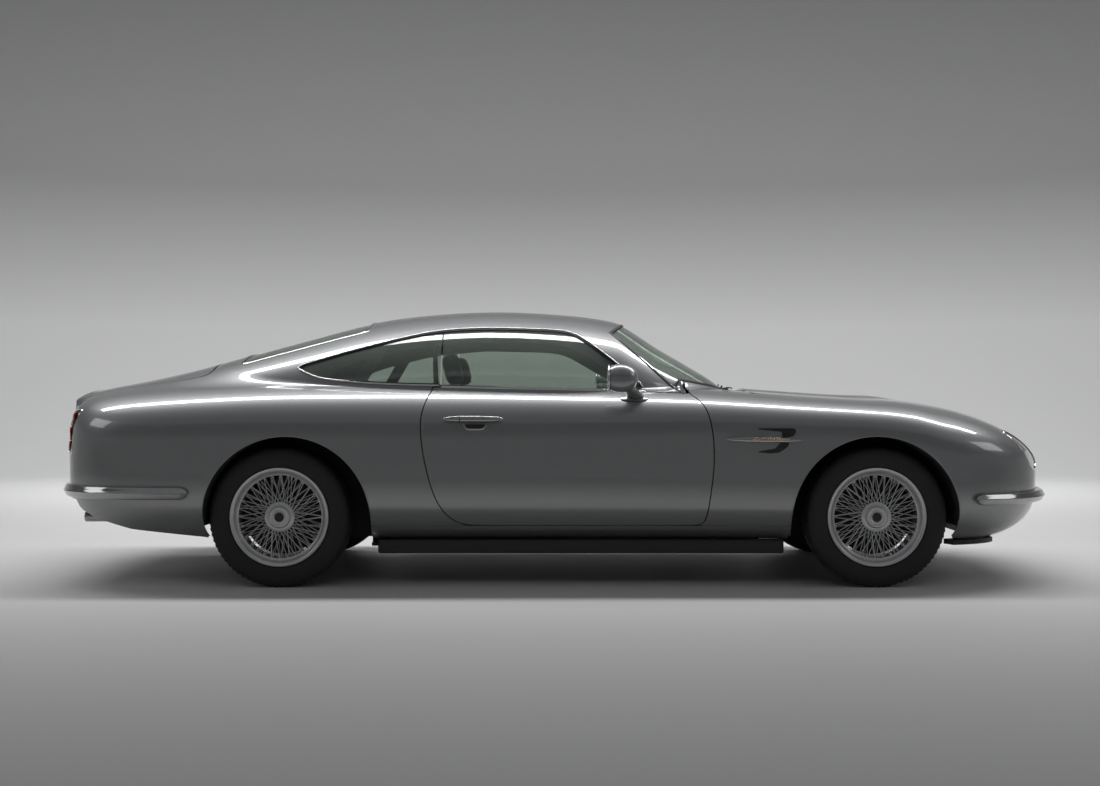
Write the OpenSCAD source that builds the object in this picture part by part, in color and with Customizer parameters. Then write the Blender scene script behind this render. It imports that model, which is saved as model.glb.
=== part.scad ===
/* [Overall] */
// Length over the bumpers
overall_length = 4790; // [3950:10:5760]
// Width of the body at the rear wheels
body_width = 1900; // [1580:10:2290]
// Height of the roof's crown above the ground
roof_height = 1309; // [1150:1:1580]
// Distance between the front and the rear axle
wheelbase = 2752; // [2450:2:3000]
// Height of the underside of the sills above the ground
sill_height = 216; // [190:1:240]

/* [Wheels] */
// Radius of the tyre
tyre_radius = 325; // [270:1:345]
// Width of the tyre
tyre_width = 205; // [165:1:235]
// Radius of the rim's flange
rim_radius = 229; // [190:1:250]
// Distance between the middle planes of the wheels on one axle
track = 1555; // [1500:1:1580]
// Room between the tyre and the wheel arch
arch_room = 59; // [45:1:75]
// Radius of the wheel spindles
spindle_radius = 16; // [12:0.5:20]
// Radius of the steering pivots
pivot_radius = 9; // [7:0.5:12]
// Running clearance at spindles, pivots and hinge pins
pin_room = 0.4; // [0.3:0.05:0.6]

/* [Body] */
// Thickness of the outer sheet of wings, tail and nose
sheet = 4; // [2:0.5:5]
// Thickness of the roof and its pillars
roof_wall = 26; // [15:1:40]
// Thickness of the doors
door_wall = 80; // [60:1:95]
// Thickness of the bonnet and the boot lid with their frames
lid_wall = 10; // [8:0.5:16]
// Thickness of the window glass
glass_wall = 5; // [4:0.5:8]
// Depth of the glass below the outer surface
glass_depth = 3; // [1:0.5:6]
// Gap around the doors and lids
shut_gap = 6.5; // [5.5:0.1:9]
// Gap where a lid lifts away from the panel behind it
lift_gap = 10; // [9:0.5:14]
// Extra gap ahead of a lid, where its front edge swings past the fixed panel
hinge_room = 9; // [8:0.5:12]
// Seam between fixed panels
seam = 0.5; // [0.3:0.1:0.8]
// Half width of the bonnet at its rear edge
bonnet_half = 640; // [560:5:660]
// Half width of the boot lid
boot_half = 540; // [450:5:570]

/* [Hinges] */
// Distance of the door's hinge pin behind the front of the door
door_pin_back = 64; // [56:1:76]
// Radius of the hinge pins
hinge_pin = 6; // [4:0.5:7]
// Distance from a lid's edge to its hinge pin
lid_pin_reach = 28; // [24:1:34]
// Opening angle that the hinge arms allow
open_angle = 60; // [45:1:70]

/* [Interior] */
// Width of a front seat
seat_width = 500; // [420:5:540]
// Diameter of the steering wheel
steering_d = 390; // [340:5:420]
// Diameter of the steering wheel's rim
steering_rim = 26; // [20:1:34]

/* [Hidden] */
$fn = 48;

// The outlines below are drawn for a car of this size and stretched to the sizes above.
kx = overall_length / 4790;
ky = body_width / 1900;
kz = roof_height / 1309;

front_axle = 1460 + (wheelbase - 2752) / 2;
rear_axle_x = front_axle - wheelbase;
axle_height = tyre_radius - 1;
wheel_y = track / 2;
arch_radius = tyre_radius + arch_room;

nose_tip = 2350;
nose_start = 1500;
nose_height = 520;
tail_tip = -2370;
tail_start = -1500;
tail_height = 600;

// Lower body: x, half width, height of the widest line, height of the crown, roundness
LOWER = [[-2370, 925, 600, 912, 3.4], [-2136, 940, 600, 927, 3.5], [-1681, 950, 600, 955, 3.6],
         [-1292, 950, 597, 972, 3.6], [-595, 934, 586, 976, 3.6], [184, 926, 578, 953, 4.0],
         [642, 926, 570, 926, 4.7], [1086, 936, 560, 893, 5.1], [1419, 945, 552, 872, 5.2],
         [1641, 946, 545, 868, 4.4], [1808, 946, 538, 868, 3.6], [2350, 946, 520, 868, 2.8]];
// Cabin: x, height of its crown, half width at its foot, radius of the fillet at its foot
CABIN = [[-2370, 760, 480, 60], [-2330, 893, 500, 60], [-2236, 909, 520, 70], [-2078, 946, 548, 80],
         [-1826, 1013, 600, 90], [-1560, 1087, 650, 80], [-1291, 1161, 694, 40], [-918, 1256, 738, 16],
         [-600, 1297, 757, 12], [-280, 1309, 766, 12], [56, 1291, 768, 12], [241, 1266, 768, 12],
         [322, 1241, 768, 12], [502, 1127, 768, 12], [657, 1037, 768, 14], [768, 970, 768, 16],
         [870, 890, 768, 20], [960, 800, 768, 20]];
cabin_foot = 860;
cabin_round = 2.4;
screen_start = 0;
screen_tip = 905;
low_round = 3.6;
low_line = 150;

// Smooth value of column c of table T at x, by cubic steps between its rows
function row_of(T, x, i = 0) = i >= len(T) - 2 || x < T[i + 1][0] ? i : row_of(T, x, i + 1);
function slope(T, i, c) =
    let (a = max(i - 1, 0), b = min(i + 1, len(T) - 1)) (T[b][c] - T[a][c]) / (T[b][0] - T[a][0]);
function smooth(T, x, c) =
    let (i = row_of(T, x), w = T[i + 1][0] - T[i][0], u = min(max((x - T[i][0]) / w, 0), 1))
    T[i][c] * (1 - 3*u*u + 2*u*u*u) + T[i + 1][c] * (3*u*u - 2*u*u*u)
    + w * slope(T, i, c) * (u - 2*u*u + u*u*u) + w * slope(T, i + 1, c) * (u*u*u - u*u);

// How far an end has closed at x, from 1 where it starts to 0 at its tip
function closing(x, start, tip, p) =
    let (u = min(max((x - start) / (tip - start), 0), 1)) pow(max(1 - pow(u, p), 0.000001), 1 / p);
function ends(x, p_nose, p_tail) = closing(x, nose_start, nose_tip, p_nose) * closing(x, tail_start, tail_tip, p_tail);

function widest_z(x) = smooth(LOWER, x, 2);
function half_width(x) = smooth(LOWER, x, 1) * ends(x, 3, 4.4);
function crown_up(x) = (smooth(LOWER, x, 3) - widest_z(x)) * ends(x, 1.9, 8);
function keel_down(x) = (widest_z(x) - low_line) * ends(x, 3.2, 4.5);
// A low rounded ridge along the bonnet
function ridge(x, y) = x < 930 ? 0
    : 17 * pow(sin(90 * min(max((1880 - x) / 320, 0), 1)), 2) * exp(-pow(y / 210, 4));

function lower_r(x, a) =
    let (n = a > 0 ? smooth(LOWER, x, 4) : low_round, h = a > 0 ? crown_up(x) : keel_down(x))
    pow(pow(cos(a) / half_width(x), n) + pow(abs(sin(a)) / h, n), -1 / n);
// Distance from the axis to the cabin's arch, found by halving
function cabin_value(r, a, zw, b, h) =
    pow(r * cos(a) / b, cabin_round) + pow(max(zw + r * sin(a) - cabin_foot, 0) / h, cabin_round) - 1;
function halve(lo, hi, a, zw, b, h, n) = n == 0 ? (lo + hi) / 2
    : let (m = (lo + hi) / 2) cabin_value(m, a, zw, b, h) > 0
        ? halve(lo, m, a, zw, b, h, n - 1) : halve(m, hi, a, zw, b, h, n - 1);
function cabin_r(x, a) =
    let (b = smooth(CABIN, x, 2) * closing(x, screen_start, screen_tip, 2), h = smooth(CABIN, x, 1) - cabin_foot)
    (a < 8 || b < 5 || h < 5) ? 0 : halve(0, 900, a, widest_z(x), b, h, 16);
function blend_max(p, q, k) = let (e = max(k - abs(p - q), 0) / k) max(p, q) + e*e*k/4;
function body_r(x, a) =
    let (r = blend_max(lower_r(x, a), cabin_r(x, a), smooth(CABIN, x, 3)))
    r + ridge(x, r * cos(a)) * max(sin(a), 0);
// The same, moved in by t at right angles to the surface
function inner_r(x, a, t) = t == 0 ? body_r(x, a)
    : let (r = body_r(x, a), g = (body_r(x, min(a + 1, 90)) - body_r(x, max(a - 1, -90))) / (2 * r * PI / 180))
    max(r - t * min(sqrt(1 + g * g), 2.6), r * 0.05);
function body_point(x, a, t, side) =
    let (r = inner_r(x, a, t))
    [x * (1 - t / nose_tip) * kx, side * r * cos(a) * ky, (widest_z(x) + r * sin(a)) * kz];

ANGLES = [-90, -70, -55, -45, -37, -30, -24, -18, -12, -6, 0, 6, 11, 15, 18, 20.5, 22.5, 24.5, 26.5, 29,
          33, 38, 44, 51, 59, 68, 78, 90];
STATIONS = 49;
function station(i) = (nose_tip + tail_tip) / 2 + (nose_tip - tail_tip) / 2 * sin(-89 + 178 * i / STATIONS);

// The whole outer shape, or the same moved in by t
module shape(t = 0) {
    m = len(ANGLES);
    ring = 2 * m - 2;
    points = [for (i = [0:STATIONS], j = [0:ring - 1])
        j < m ? body_point(station(i), ANGLES[j], t, -1) : body_point(station(i), ANGLES[ring - j], t, 1)];
    sides = [for (i = [0:STATIONS - 1], j = [0:ring - 1])
        let (k = (j + 1) % ring) each [[i*ring + j, i*ring + k, (i + 1)*ring + k], [i*ring + j, (i + 1)*ring + k, (i + 1)*ring + j]]];
    caps = [[for (j = [ring - 1:-1:0]) j], [for (j = [0:ring - 1]) STATIONS*ring + j]];
    polyhedron(points, concat(sides, caps));
}
module skin(t, from = 0) {
    difference() {
        shape(from);
        shape(from + t);
    }
}

// Half width of the lower body at height z
function side_y(x, z) =
    let (up = z > widest_z(x), n = up ? smooth(LOWER, x, 4) : low_round, h = up ? crown_up(x) : keel_down(x),
         d = abs(z - widest_z(x)) / h)
    d >= 1 ? 0 : half_width(x) * pow(1 - pow(d, n), 1 / n);
// Height of the upper surface, or of the same moved in by t, above a point of the plan
function climb(x, y, t, lo, hi, n) =
    let (a = (lo + hi) / 2, r = inner_r(x, a, t))
    n == 0 ? widest_z(x) + r * sin(a) : r * cos(a) > y ? climb(x, y, t, a, hi, n - 1) : climb(x, y, t, lo, a, n - 1);
function top_z(x, y, t = 0) = climb(x / kx / (1 - t / nose_tip), y / ky, t, 0, 90, 14) * kz;

// Outlines in the side view, drawn for the plain size
DOOR = [[-586, 1010], [-586, 924], [-620, 850], [-638, 767], [-628, 644], [-600, 511], [-567, 411],
        [-527, 346], [-477, 305], [-415, 288], [640, 286], [664, 300], [684, 401], [704, 567],
        [700, 700], [681, 799], [653, 856], [599, 893], [590, 1010]];
BELT = [[-2500, 2000], [-1400, 2000], [-1399, 990], [-1266, 990], [-1123, 950], [-742, 926], [215, 906], [420, 899], [605.5, 893],
        [606, 2000], [2500, 2000]];
SIDE_GLASS = [[-1258, 1020], [-1123, 962], [-742, 935], [215, 915], [412, 909], [268, 1038], [165, 1120],
              [73, 1184], [-9, 1198], [-242, 1208], [-415, 1208], [-752, 1160]];
SCREEN = [[572, 900], [246, 1188], [322, 1240], [420, 1400], [1100, 1400], [1100, 840], [606, 840]];
UNDERCUT = [[-1640, -100], [-1640, 226], [-1985, 262], [-2006, 320], [-2500, 336], [-2500, -100]];
glass_split = -556;
bonnet_rear = 925;
bonnet_front = 2185;
boot_front = -1690;
boot_rear = -2292;
nose_split = 2020;
tail_split = -2200;
roof_split = -1400;
rear_glass_top = -930;
rear_glass_foot = -1545;
sill_top = 284;
door_front = 704;

function spot(p) = [p[0] * kx, p[1] * kz];
function spots(list) = [for (p = list) spot(p)];
door_pin_x = door_front * kx - door_pin_back;
door_flange = 5;
hinge_ring = hinge_pin + 6;
door_pin_y = min(side_y(door_pin_x / kx, 395), side_y(door_pin_x / kx, 755)) * ky - door_flange - hinge_ring - 1.5;

// Everything within an outline of the side view, grown by g
module side_zone(list, g = 0, depth = 2600) {
    rotate([90, 0, 0]) linear_extrude(depth, center = true) offset(delta = g) polygon(spots(list));
}
module below_belt(g = 0) { side_zone(concat(BELT, [[2500, -100], [-2500, -100]]), g); }
module above_belt(g = 0) { side_zone(concat(BELT, [[2500, 2100], [-2500, 2100]]), g); }
module from_to(x0, x1, z0 = -50, z1 = 2000, half = 1300) {
    translate([x0, -half, z0]) cube([x1 - x0, 2 * half, z1 - z0]);
}
module right_side(y = 0) { translate([-3000, -3000 - y, -100]) cube([6000, 3000, 3000]); }
// Plan outlines of the lids and the rear window
module bonnet_zone(g = 0, rear = 0) {
    linear_extrude(3000) offset(r = 60) offset(delta = g - 60) union() {
        polygon([[bonnet_rear * kx - rear, -bonnet_half * ky], [bonnet_rear * kx - rear, bonnet_half * ky],
                 [2000 * kx, 520 * ky], [(bonnet_front - 25) * kx, 300 * ky], [bonnet_front * kx, 120 * ky],
                 [bonnet_front * kx, -120 * ky], [(bonnet_front - 25) * kx, -300 * ky], [2000 * kx, -520 * ky]]);
    }
}
module boot_zone(g = 0, rear = 0) {
    linear_extrude(3000) offset(r = 70) offset(delta = g - 70)
        polygon([[boot_front * kx, -boot_half * ky], [boot_front * kx, boot_half * ky],
                 [boot_rear * kx - rear, (boot_half - 60) * ky], [boot_rear * kx - rear, -(boot_half - 60) * ky]]);
}
module rear_glass_zone(g = 0) {
    translate([0, 0, 900 * kz]) linear_extrude(3000) offset(r = 60) offset(delta = g - 60)
        polygon([[rear_glass_top * kx, -470 * ky], [rear_glass_top * kx, 470 * ky],
                 [rear_glass_foot * kx, 500 * ky], [rear_glass_foot * kx, -500 * ky]]);
}
module arch_zone(x, r = arch_radius) {
    translate([x, 1300, axle_height - 12]) rotate([90, 0, 0]) cylinder(2600, r = r);
    translate([x - r, -1300, -50]) cube([2 * r, 2600, axle_height + 38]);
}
module arches(r = arch_radius) {
    arch_zone(front_axle - 12, r);
    arch_zone(rear_axle_x + 40, r);
}
module both_sides() {
    children();
    mirror([0, 1, 0]) children();
}
// What is inside resize() is worked out as one mesh
module one_mesh() { resize([0, 0, 0]) union() children(); }

paint = [0.27, 0.28, 0.29];

module body_side(t, x0, x1) {
    intersection() {
        skin(t);
        from_to(x0, x1, sill_height, 2000);
    }
}

module screen_zone(g = 0) {
    intersection() {
        side_zone(SCREEN, g);
        linear_extrude(3000) offset(delta = g) scale([870 * kx, 740 * ky]) circle(1, $fn = 72);
    }
}
module door_belt_zone() { side_zone([[-593, 870], [-593, 950], [-560, 950], [440, 925], [440, 870]]); }

module front_wings() color(paint) both_sides() one_mesh() difference() {
    intersection() {
        body_side(sheet, 540 * kx, nose_split * kx);
        below_belt();
        right_side(200);
    }
    side_zone(DOOR, shut_gap);
    bonnet_zone(shut_gap, lift_gap - shut_gap);
    from_to(0, front_axle, -50, sill_top * kz);
    from_to(0, (bonnet_rear + 60) * kx, 0, 2000, bonnet_half * ky + shut_gap);
    arches();
}

module cowl() color("dimgray") one_mesh() difference() {
    intersection() {
        skin(sheet);
        from_to(606 * kx, bonnet_rear * kx - lift_gap, 840 * kz, 2000, bonnet_half * ky + shut_gap - seam);
    }
    screen_zone(seam);
}

module rear_body() color(paint) one_mesh() difference() {
    intersection() {
        body_side(sheet, tail_split * kx, -300 * kx);
        below_belt(-seam);
    }
    side_zone(DOOR, shut_gap);
    from_to(-900 * kx, 0, 0, 2000, 600 * ky);
    boot_zone(shut_gap, lift_gap);
    translate([hinge_room, 0, 0]) boot_zone(shut_gap);
    rear_glass_zone(seam);
    from_to(rear_axle_x, 0, -50, sill_top * kz);
    side_zone(UNDERCUT);
    arches();
}

module roof() color(paint) one_mesh() difference() {
    intersection() {
        skin(roof_wall);
        above_belt(-seam);
        from_to(roof_split * kx + seam, 605 * kx);
    }
    screen_zone();
    rear_glass_zone();
    side_zone(SIDE_GLASS);
    door_belt_zone();
    side_zone([[430, 850], [430, 906], [620, 899.5], [620, 850]]);
}

module windscreen() color([0.45, 0.5, 0.47, 0.6]) one_mesh() intersection() {
    skin(glass_wall, glass_depth);
    screen_zone(-seam);
    from_to(0, 2000, 860 * kz, 2000);
}
module rear_window() color([0.45, 0.5, 0.47, 0.6]) one_mesh() intersection() {
    skin(glass_wall, glass_depth);
    rear_glass_zone(-seam);
}
module quarter_windows() color([0.45, 0.5, 0.47, 0.6]) both_sides() one_mesh() intersection() {
    skin(glass_wall, glass_depth);
    side_zone(SIDE_GLASS, -seam);
    from_to(-2000 * kx, (glass_split - 3) * kx);
    right_side(300);
}
module door_glass() color([0.45, 0.5, 0.47, 0.6]) one_mesh() intersection() {
    skin(glass_wall, glass_depth);
    union() {
        side_zone(SIDE_GLASS, -5.5);
        side_zone([[-560, 860], [-560, 950], [400, 925], [400, 860]]);
    }
    above_belt(-seam);
    from_to((glass_split + 3) * kx, 2000 * kx);
    right_side(300);
}

module door() color(paint) one_mesh() difference() {
    intersection() {
        skin(door_wall);
        side_zone(DOOR);
        below_belt();
        right_side(640 * ky);
    }
    difference() {
        intersection() {
            shape(door_flange);
            from_to(-1000 * kx, 1000 * kx, 0, 2000);
        }
        side_zone(DOOR, -16);
        from_to(-1000 * kx, 500 * kx, 850 * kz, 2000);
    }
    intersection() {
        shape(door_flange);
        from_to(door_pin_x - 45, 1000 * kx);
    }
}

// Openings in the nose and tail, looked at from the front
grille_z = 555;
grille_half = 390;
grille_half_height = 92;
lamp_y = 625;
lamp_z = 625;
lamp_radius = 92;
tail_lamp_y = 690;
tail_lamp_z = 715;
module end_prism(y, z, w, h, r, x0, x1) {
    translate([x0, y * ky, z * kz]) rotate([90, 0, 90]) linear_extrude(x1 - x0) {
        square([2 * (w - r), 2 * h], center = true);
        square([2 * w, 2 * (h - r)], center = true);
        for (a = [-1, 1], b = [-1, 1]) translate([a * (w - r), b * (h - r)]) circle(r = r);
    }
}
module grille_hole(g = 0) {
    end_prism(0, grille_z, grille_half * ky + g, grille_half_height + g, 75 + g, nose_split * kx, 3200);
}
module lamp_holes(g = 0) {
    both_sides() translate([1900 * kx, -lamp_y * ky, lamp_z * kz]) rotate([0, 90, 0]) cylinder(1200, r = lamp_radius + g);
}
module tail_lamp_holes(g = 0) {
    both_sides() end_prism(-tail_lamp_y, tail_lamp_z, 46 + g, 105 + g, 30, -3200, -2100 * kx);
}

module nose_panel() color(paint) one_mesh() difference() {
    intersection() {
        skin(sheet);
        from_to(nose_split * kx + seam, 3000);
    }
    bonnet_zone(shut_gap);
    translate([hinge_room, 0, 0]) bonnet_zone(shut_gap);
    from_to(0, 3200, -50, trim_top);
    grille_hole();
    lamp_holes();
}
module tail_panel() color(paint) one_mesh() difference() {
    intersection() {
        skin(sheet);
        from_to(-3200, tail_split * kx - seam);
    }
    boot_zone(shut_gap, lift_gap);
    side_zone(UNDERCUT);
    tail_lamp_holes();
}
module bonnet() color(paint) one_mesh() intersection() {
    skin(lid_wall);
    bonnet_zone();
    from_to(0, 3200, 640 * kz, 2000);
}
module boot_lid() color(paint) one_mesh() intersection() {
    skin(lid_wall);
    boot_zone();
    from_to(-3200, 0, 800 * kz, 2000);
}
module headlamps() color("lightgray") one_mesh() difference() {
    intersection() {
        skin(40, 1);
        lamp_holes(-seam);
        from_to(nose_split * kx + 5, 3000);
    }
}
module tail_lamps() color("darkred") one_mesh() intersection() {
    skin(30, 1);
    tail_lamp_holes(-seam);
    from_to(-3200, tail_split * kx);
}

grille_x = 2262 * kx;
grille_depth = 20;
grille_frame = 8;
bar_pitch = 18;
bar_wall = 3;
bar_count = floor((2 * grille_half_height - 2 * grille_frame) / bar_pitch);
module grille_zone(g, grow) {
    end_prism(0, grille_z, grille_half * ky - g, grille_half_height - g, 75 - g, grille_x - grow, grille_x + grille_depth + grow);
}
module grille() color("silver") {
    difference() {
        grille_zone(seam, 0);
        grille_zone(grille_frame, 1);
    }
    intersection() {
        grille_zone(grille_frame - 1, 1);
        for (i = [1:bar_count])
            translate([grille_x + 2, -600 * ky, grille_z * kz + (i - (bar_count + 1) / 2) * bar_pitch - bar_wall / 2])
                cube([grille_depth - 4, 1200 * ky, bar_wall]);
    }
}

// Plan outline of the body at height z, from x0 to x1
module plan_outline(z, x0, x1, stretch, spread) {
    steps = 40;
    xs = [for (i = [0:steps]) x0 + (x1 - x0) * sin(90 * i / steps)];
    polygon([for (x = xs) [x * kx * stretch, side_y(x, z) * ky * spread],
             for (i = [steps:-1:0]) [xs[i] * kx * stretch, -side_y(xs[i], z) * ky * spread]]);
}
bumper_spread = 1.012;
module bumper_blade(x0, tip, z0, z1) {
    difference() {
        translate([0, 0, z0 * kz]) linear_extrude((z1 - z0) * kz)
            plan_outline((z0 + z1) / 2, x0, tip, overall_length / 2 / abs(tip) / kx, bumper_spread);
        shape(-0.6);
    }
}
module bumpers() color("silver") {
    one_mesh() bumper_blade(1878 / 1.02, 2342, 381, 435);
    one_mesh() bumper_blade(-1686, -2369, 408, 470);
}

trim_top = sill_height - 10;
skirt_depth = 67;
module lower_trim() color([0.05, 0.05, 0.05]) {
    one_mesh() intersection() {
        shape(1);
        from_to(1845 * kx, 3000, trim_top - 30, trim_top - seam);
    }
    both_sides() translate([rear_axle_x + arch_radius + 60, sill_inner, sill_height - skirt_depth])
        cube([wheelbase - 2 * arch_radius - 90, 40, skirt_depth - seam]);
}

module sills() color(paint) both_sides() one_mesh() difference() {
    intersection() {
        shape();
        from_to(rear_axle_x, front_axle, sill_height, sill_top * kz - seam);
        right_side(sill_inner);
    }
    side_zone(DOOR, shut_gap);
    arches();
}
sill_inner = 740 * ky;

liner = 3;
module wheelhouses() color([0.05, 0.05, 0.05]) {
    for (end = [[front_axle - 12, 505], [rear_axle_x + 40, 640]])
        both_sides() one_mesh() intersection() {
            difference() {
                arch_zone(end[0], arch_radius + liner);
                arch_zone(end[0], arch_radius);
            }
            shape(sheet + seam);
            from_to(-3000, 3000, sill_top * kz + seam, 2000);
            right_side(end[1] * ky);
        }
}

// Floor, tunnel, bulkheads, posts and rails, welded into one
floor_z = 180;
floor_wall = 15;
firewall_x = 930;
rail_y = 441;
rail_wall = 40;
boot_floor_z = 440;
post_out = door_pin_y - 71;
post_top = 770;
module underbody() color([0.12, 0.12, 0.13]) {
    floor_front = firewall_x * kx;
    floor_rear = -880 * kx;
    difference() {
        union() {
            from_to(floor_rear, floor_front, floor_z, floor_z + floor_wall, sill_inner - seam);
            from_to(floor_rear, floor_front, floor_z, floor_z + 150, 120);
            from_to(floor_front, floor_front + 12, floor_z, 850 * kz, 700 * ky);
            from_to(floor_rear - 12, floor_rear, floor_z, 700 * kz, 600 * ky);
            from_to(-1750 * kx, floor_rear, boot_floor_z, boot_floor_z + 12, 600 * ky);
            from_to(-1762 * kx, -1750 * kx, 340, boot_floor_z + 12, 600 * ky);
            from_to(-2230 * kx, -1750 * kx, 340, 352, 600 * ky);
            both_sides() {
                translate([floor_front, rail_y, 300]) cube([2150 * kx - floor_front, rail_wall, 90]);
                translate([door_pin_x - 30, post_out - 60, sill_top * kz]) cube([90, 60, (post_top - sill_top) * kz]);
                for (x = [rear_axle_x + arch_radius + 130, front_axle - arch_radius - 140])
                    translate([x, sill_inner - 45, floor_z - jack_pad_height]) cylinder(jack_pad_height + 5, r = jack_pad_radius);
            }
        }
        from_to(floor_rear, floor_front - 200, floor_z - 20, floor_z + 138, 108);
    }
}
jack_pad_radius = 30;
jack_pad_height = 12;

module hinge_posts() color("dimgray") {
    both_sides() for (z = door_hinge_heights) {
        translate([door_pin_x, door_pin_y, z - hinge_length / 2 - hinge_plate]) cylinder(hinge_length + 2 * hinge_plate, r = hinge_pin);
        for (s = [-1, 1]) translate([0, 0, z + s * (hinge_length + hinge_plate + 1) / 2 - hinge_plate / 2]) difference() {
            translate([door_pin_x - 9, post_out + seam, 0]) cube([18, door_pin_y - post_out + 6, hinge_plate]);
            translate([door_pin_x, door_pin_y, -1]) cylinder(hinge_plate + 2, r = hinge_pin - 0.01);
        }
    }
    both_sides() lid_pin(bonnet_pin_x, bonnet_pin_z);
    both_sides() lid_pin(boot_pin_x, boot_pin_z);
}
hinge_length = 50;
hinge_plate = 5;
door_hinge_heights = [430 * kz, 720 * kz];
lid_arm_y = 200 * ky;
lid_arm_wall = 14;
pin_drop = 21.5;
bonnet_pin_x = bonnet_front * kx + lid_pin_reach;
bonnet_pin_z = top_z(bonnet_pin_x, lid_arm_y) - sheet - pin_drop;
boot_pin_extra = 9;
boot_pin_x = boot_front * kx + lid_pin_reach + boot_pin_extra;
boot_pin_z = top_z(boot_pin_x, lid_arm_y) - sheet - pin_drop;
pin_radius = hinge_pin - 1;
arm_drop = 34;
arm_wall_z = 12;
arm_reach = 96;
// A pin across y between two plates that hang from the fixed panel ahead of the lid
module lid_pin(x, z) {
    pin_length = lid_arm_wall + 2;
    translate([x, lid_arm_y + pin_length / 2, z]) rotate([90, 0, 0]) cylinder(pin_length, r = pin_radius);
    one_mesh() intersection() {
        for (s = [-1, 1])
            translate([x - 8, lid_arm_y + s * (pin_length / 2 + 0.2 + hinge_plate / 2) - hinge_plate / 2, z - 9])
                cube([26, hinge_plate, 60]);
        shape(sheet + seam);
    }
}
// Goes down from the pin, round the edge of the fixed panel and up to the lid
module lid_arm(x, z) {
    foot = [for (d = [arm_reach, arm_reach - 16]) [-d, top_z(x - d, lid_arm_y, lid_wall) - z - 2 * seam]];
    translate([x, lid_arm_y + lid_arm_wall / 2, z]) rotate([90, 0, 0]) linear_extrude(lid_arm_wall) difference() {
        union() {
            circle(r = hinge_pin + 4);
            polygon([[6, -6], [0, -arm_drop - arm_wall_z], [18 - arm_reach, -arm_drop - arm_wall_z], [18 - arm_reach, -arm_drop],
                     [-12, -arm_drop], [-7, 4]]);
            polygon(concat([[30 - arm_reach, -arm_drop - arm_wall_z], [18 - arm_reach, -arm_drop - arm_wall_z]], foot));
        }
        circle(r = pin_radius + pin_room);
    }
}
module bonnet_hinges() color("dimgray") both_sides() lid_arm(bonnet_pin_x, bonnet_pin_z);
module boot_hinges() color("dimgray") both_sides() lid_arm(boot_pin_x, boot_pin_z);

module door_hinges() color("dimgray") for (z = door_hinge_heights)
    translate([0, 0, z - hinge_length / 2]) difference() {
        union() {
            translate([door_pin_x, -door_pin_y, 0]) cylinder(hinge_length, r = hinge_ring);
            translate([door_pin_x - 45 + seam, -door_pin_y, 0]) cube([45, 8, hinge_length]);
        }
        translate([door_pin_x, -door_pin_y, -1]) cylinder(hinge_length + 2, r = hinge_pin + pin_room);
    }

module door_right() door();
module door_left() mirror([0, 1, 0]) door();
module door_glass_right() door_glass();
module door_glass_left() mirror([0, 1, 0]) door_glass();
module door_hinges_right() door_hinges();
module door_hinges_left() mirror([0, 1, 0]) door_hinges();

module engine() color("silver") translate([1010 * kx, -250, subframe_z + 74 + seam]) cube([700 * kx, 500, 480]);

seat_y = 370 * ky;
module front_seats() color("black") both_sides() translate([0, seat_y, floor_z + floor_wall]) {
    translate([-360 * kx, -150, seam]) cube([400 * kx, 300, 90]);
    translate([-400 * kx, seat_width / 2, 91]) rotate([90, 0, 0]) linear_extrude(seat_width)
        polygon([[0, 0], [470, 0], [490, 120], [440, 160], [110, 130], [-90, 640], [-190, 640], [-60, 60]]);
    translate([-575 * kx, 110, 731 + seam]) rotate([90, 0, 0]) linear_extrude(220)
        polygon([[0, 0], [110, 0], [100, 170], [20, 170]]);
}
module rear_seat() color("black") both_sides() translate([-880 * kx + seam, 560 * ky, floor_z + floor_wall + seam])
    rotate([90, 0, 0]) linear_extrude(420 * ky)
        polygon([[0, 0], [250, 0], [250, 190], [120, 190], [50, 480], [0, 480]]);

module dashboard() color("black") translate([0, 620 * ky, 0]) rotate([90, 0, 0]) linear_extrude(1240 * ky)
    polygon([[firewall_x * kx - seam, 600 * kz], [firewall_x * kx - seam, 845 * kz], [720 * kx, 858 * kz],
             [610 * kx, 845 * kz], [585 * kx, 800 * kz], [620 * kx, 640 * kz]]);

wheel_tilt = 22;
module steering_wheel() color("saddlebrown") {
    translate([wheel_x, seat_y, wheel_z]) rotate([0, 90 + wheel_tilt, 0]) {
        rotate_extrude() translate([(steering_d - steering_rim) / 2, 0]) circle(r = steering_rim / 2);
        for (a = [0, 120, 240]) rotate([0, 0, a]) translate([0, -12, -3]) cube([(steering_d - steering_rim) / 2, 24, 6]);
        translate([0, 0, -8]) cylinder(28, r = 34);
    }
    difference() {
        translate([wheel_x, seat_y, wheel_z]) rotate([0, 90 + wheel_tilt, 0]) cylinder(500, r = 22);
        translate([0, 620 * ky, 0]) rotate([90, 0, 0]) linear_extrude(1240 * ky)
            polygon([[585 * kx - seam, 1300], [585 * kx - seam, 800 * kz], [620 * kx - seam, 640 * kz],
                     [700 * kx, 0], [1500 * kx, 0], [1500 * kx, 1300]]);
    }
}
wheel_x = 395 * kx;
wheel_z = 778 * kz;

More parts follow.
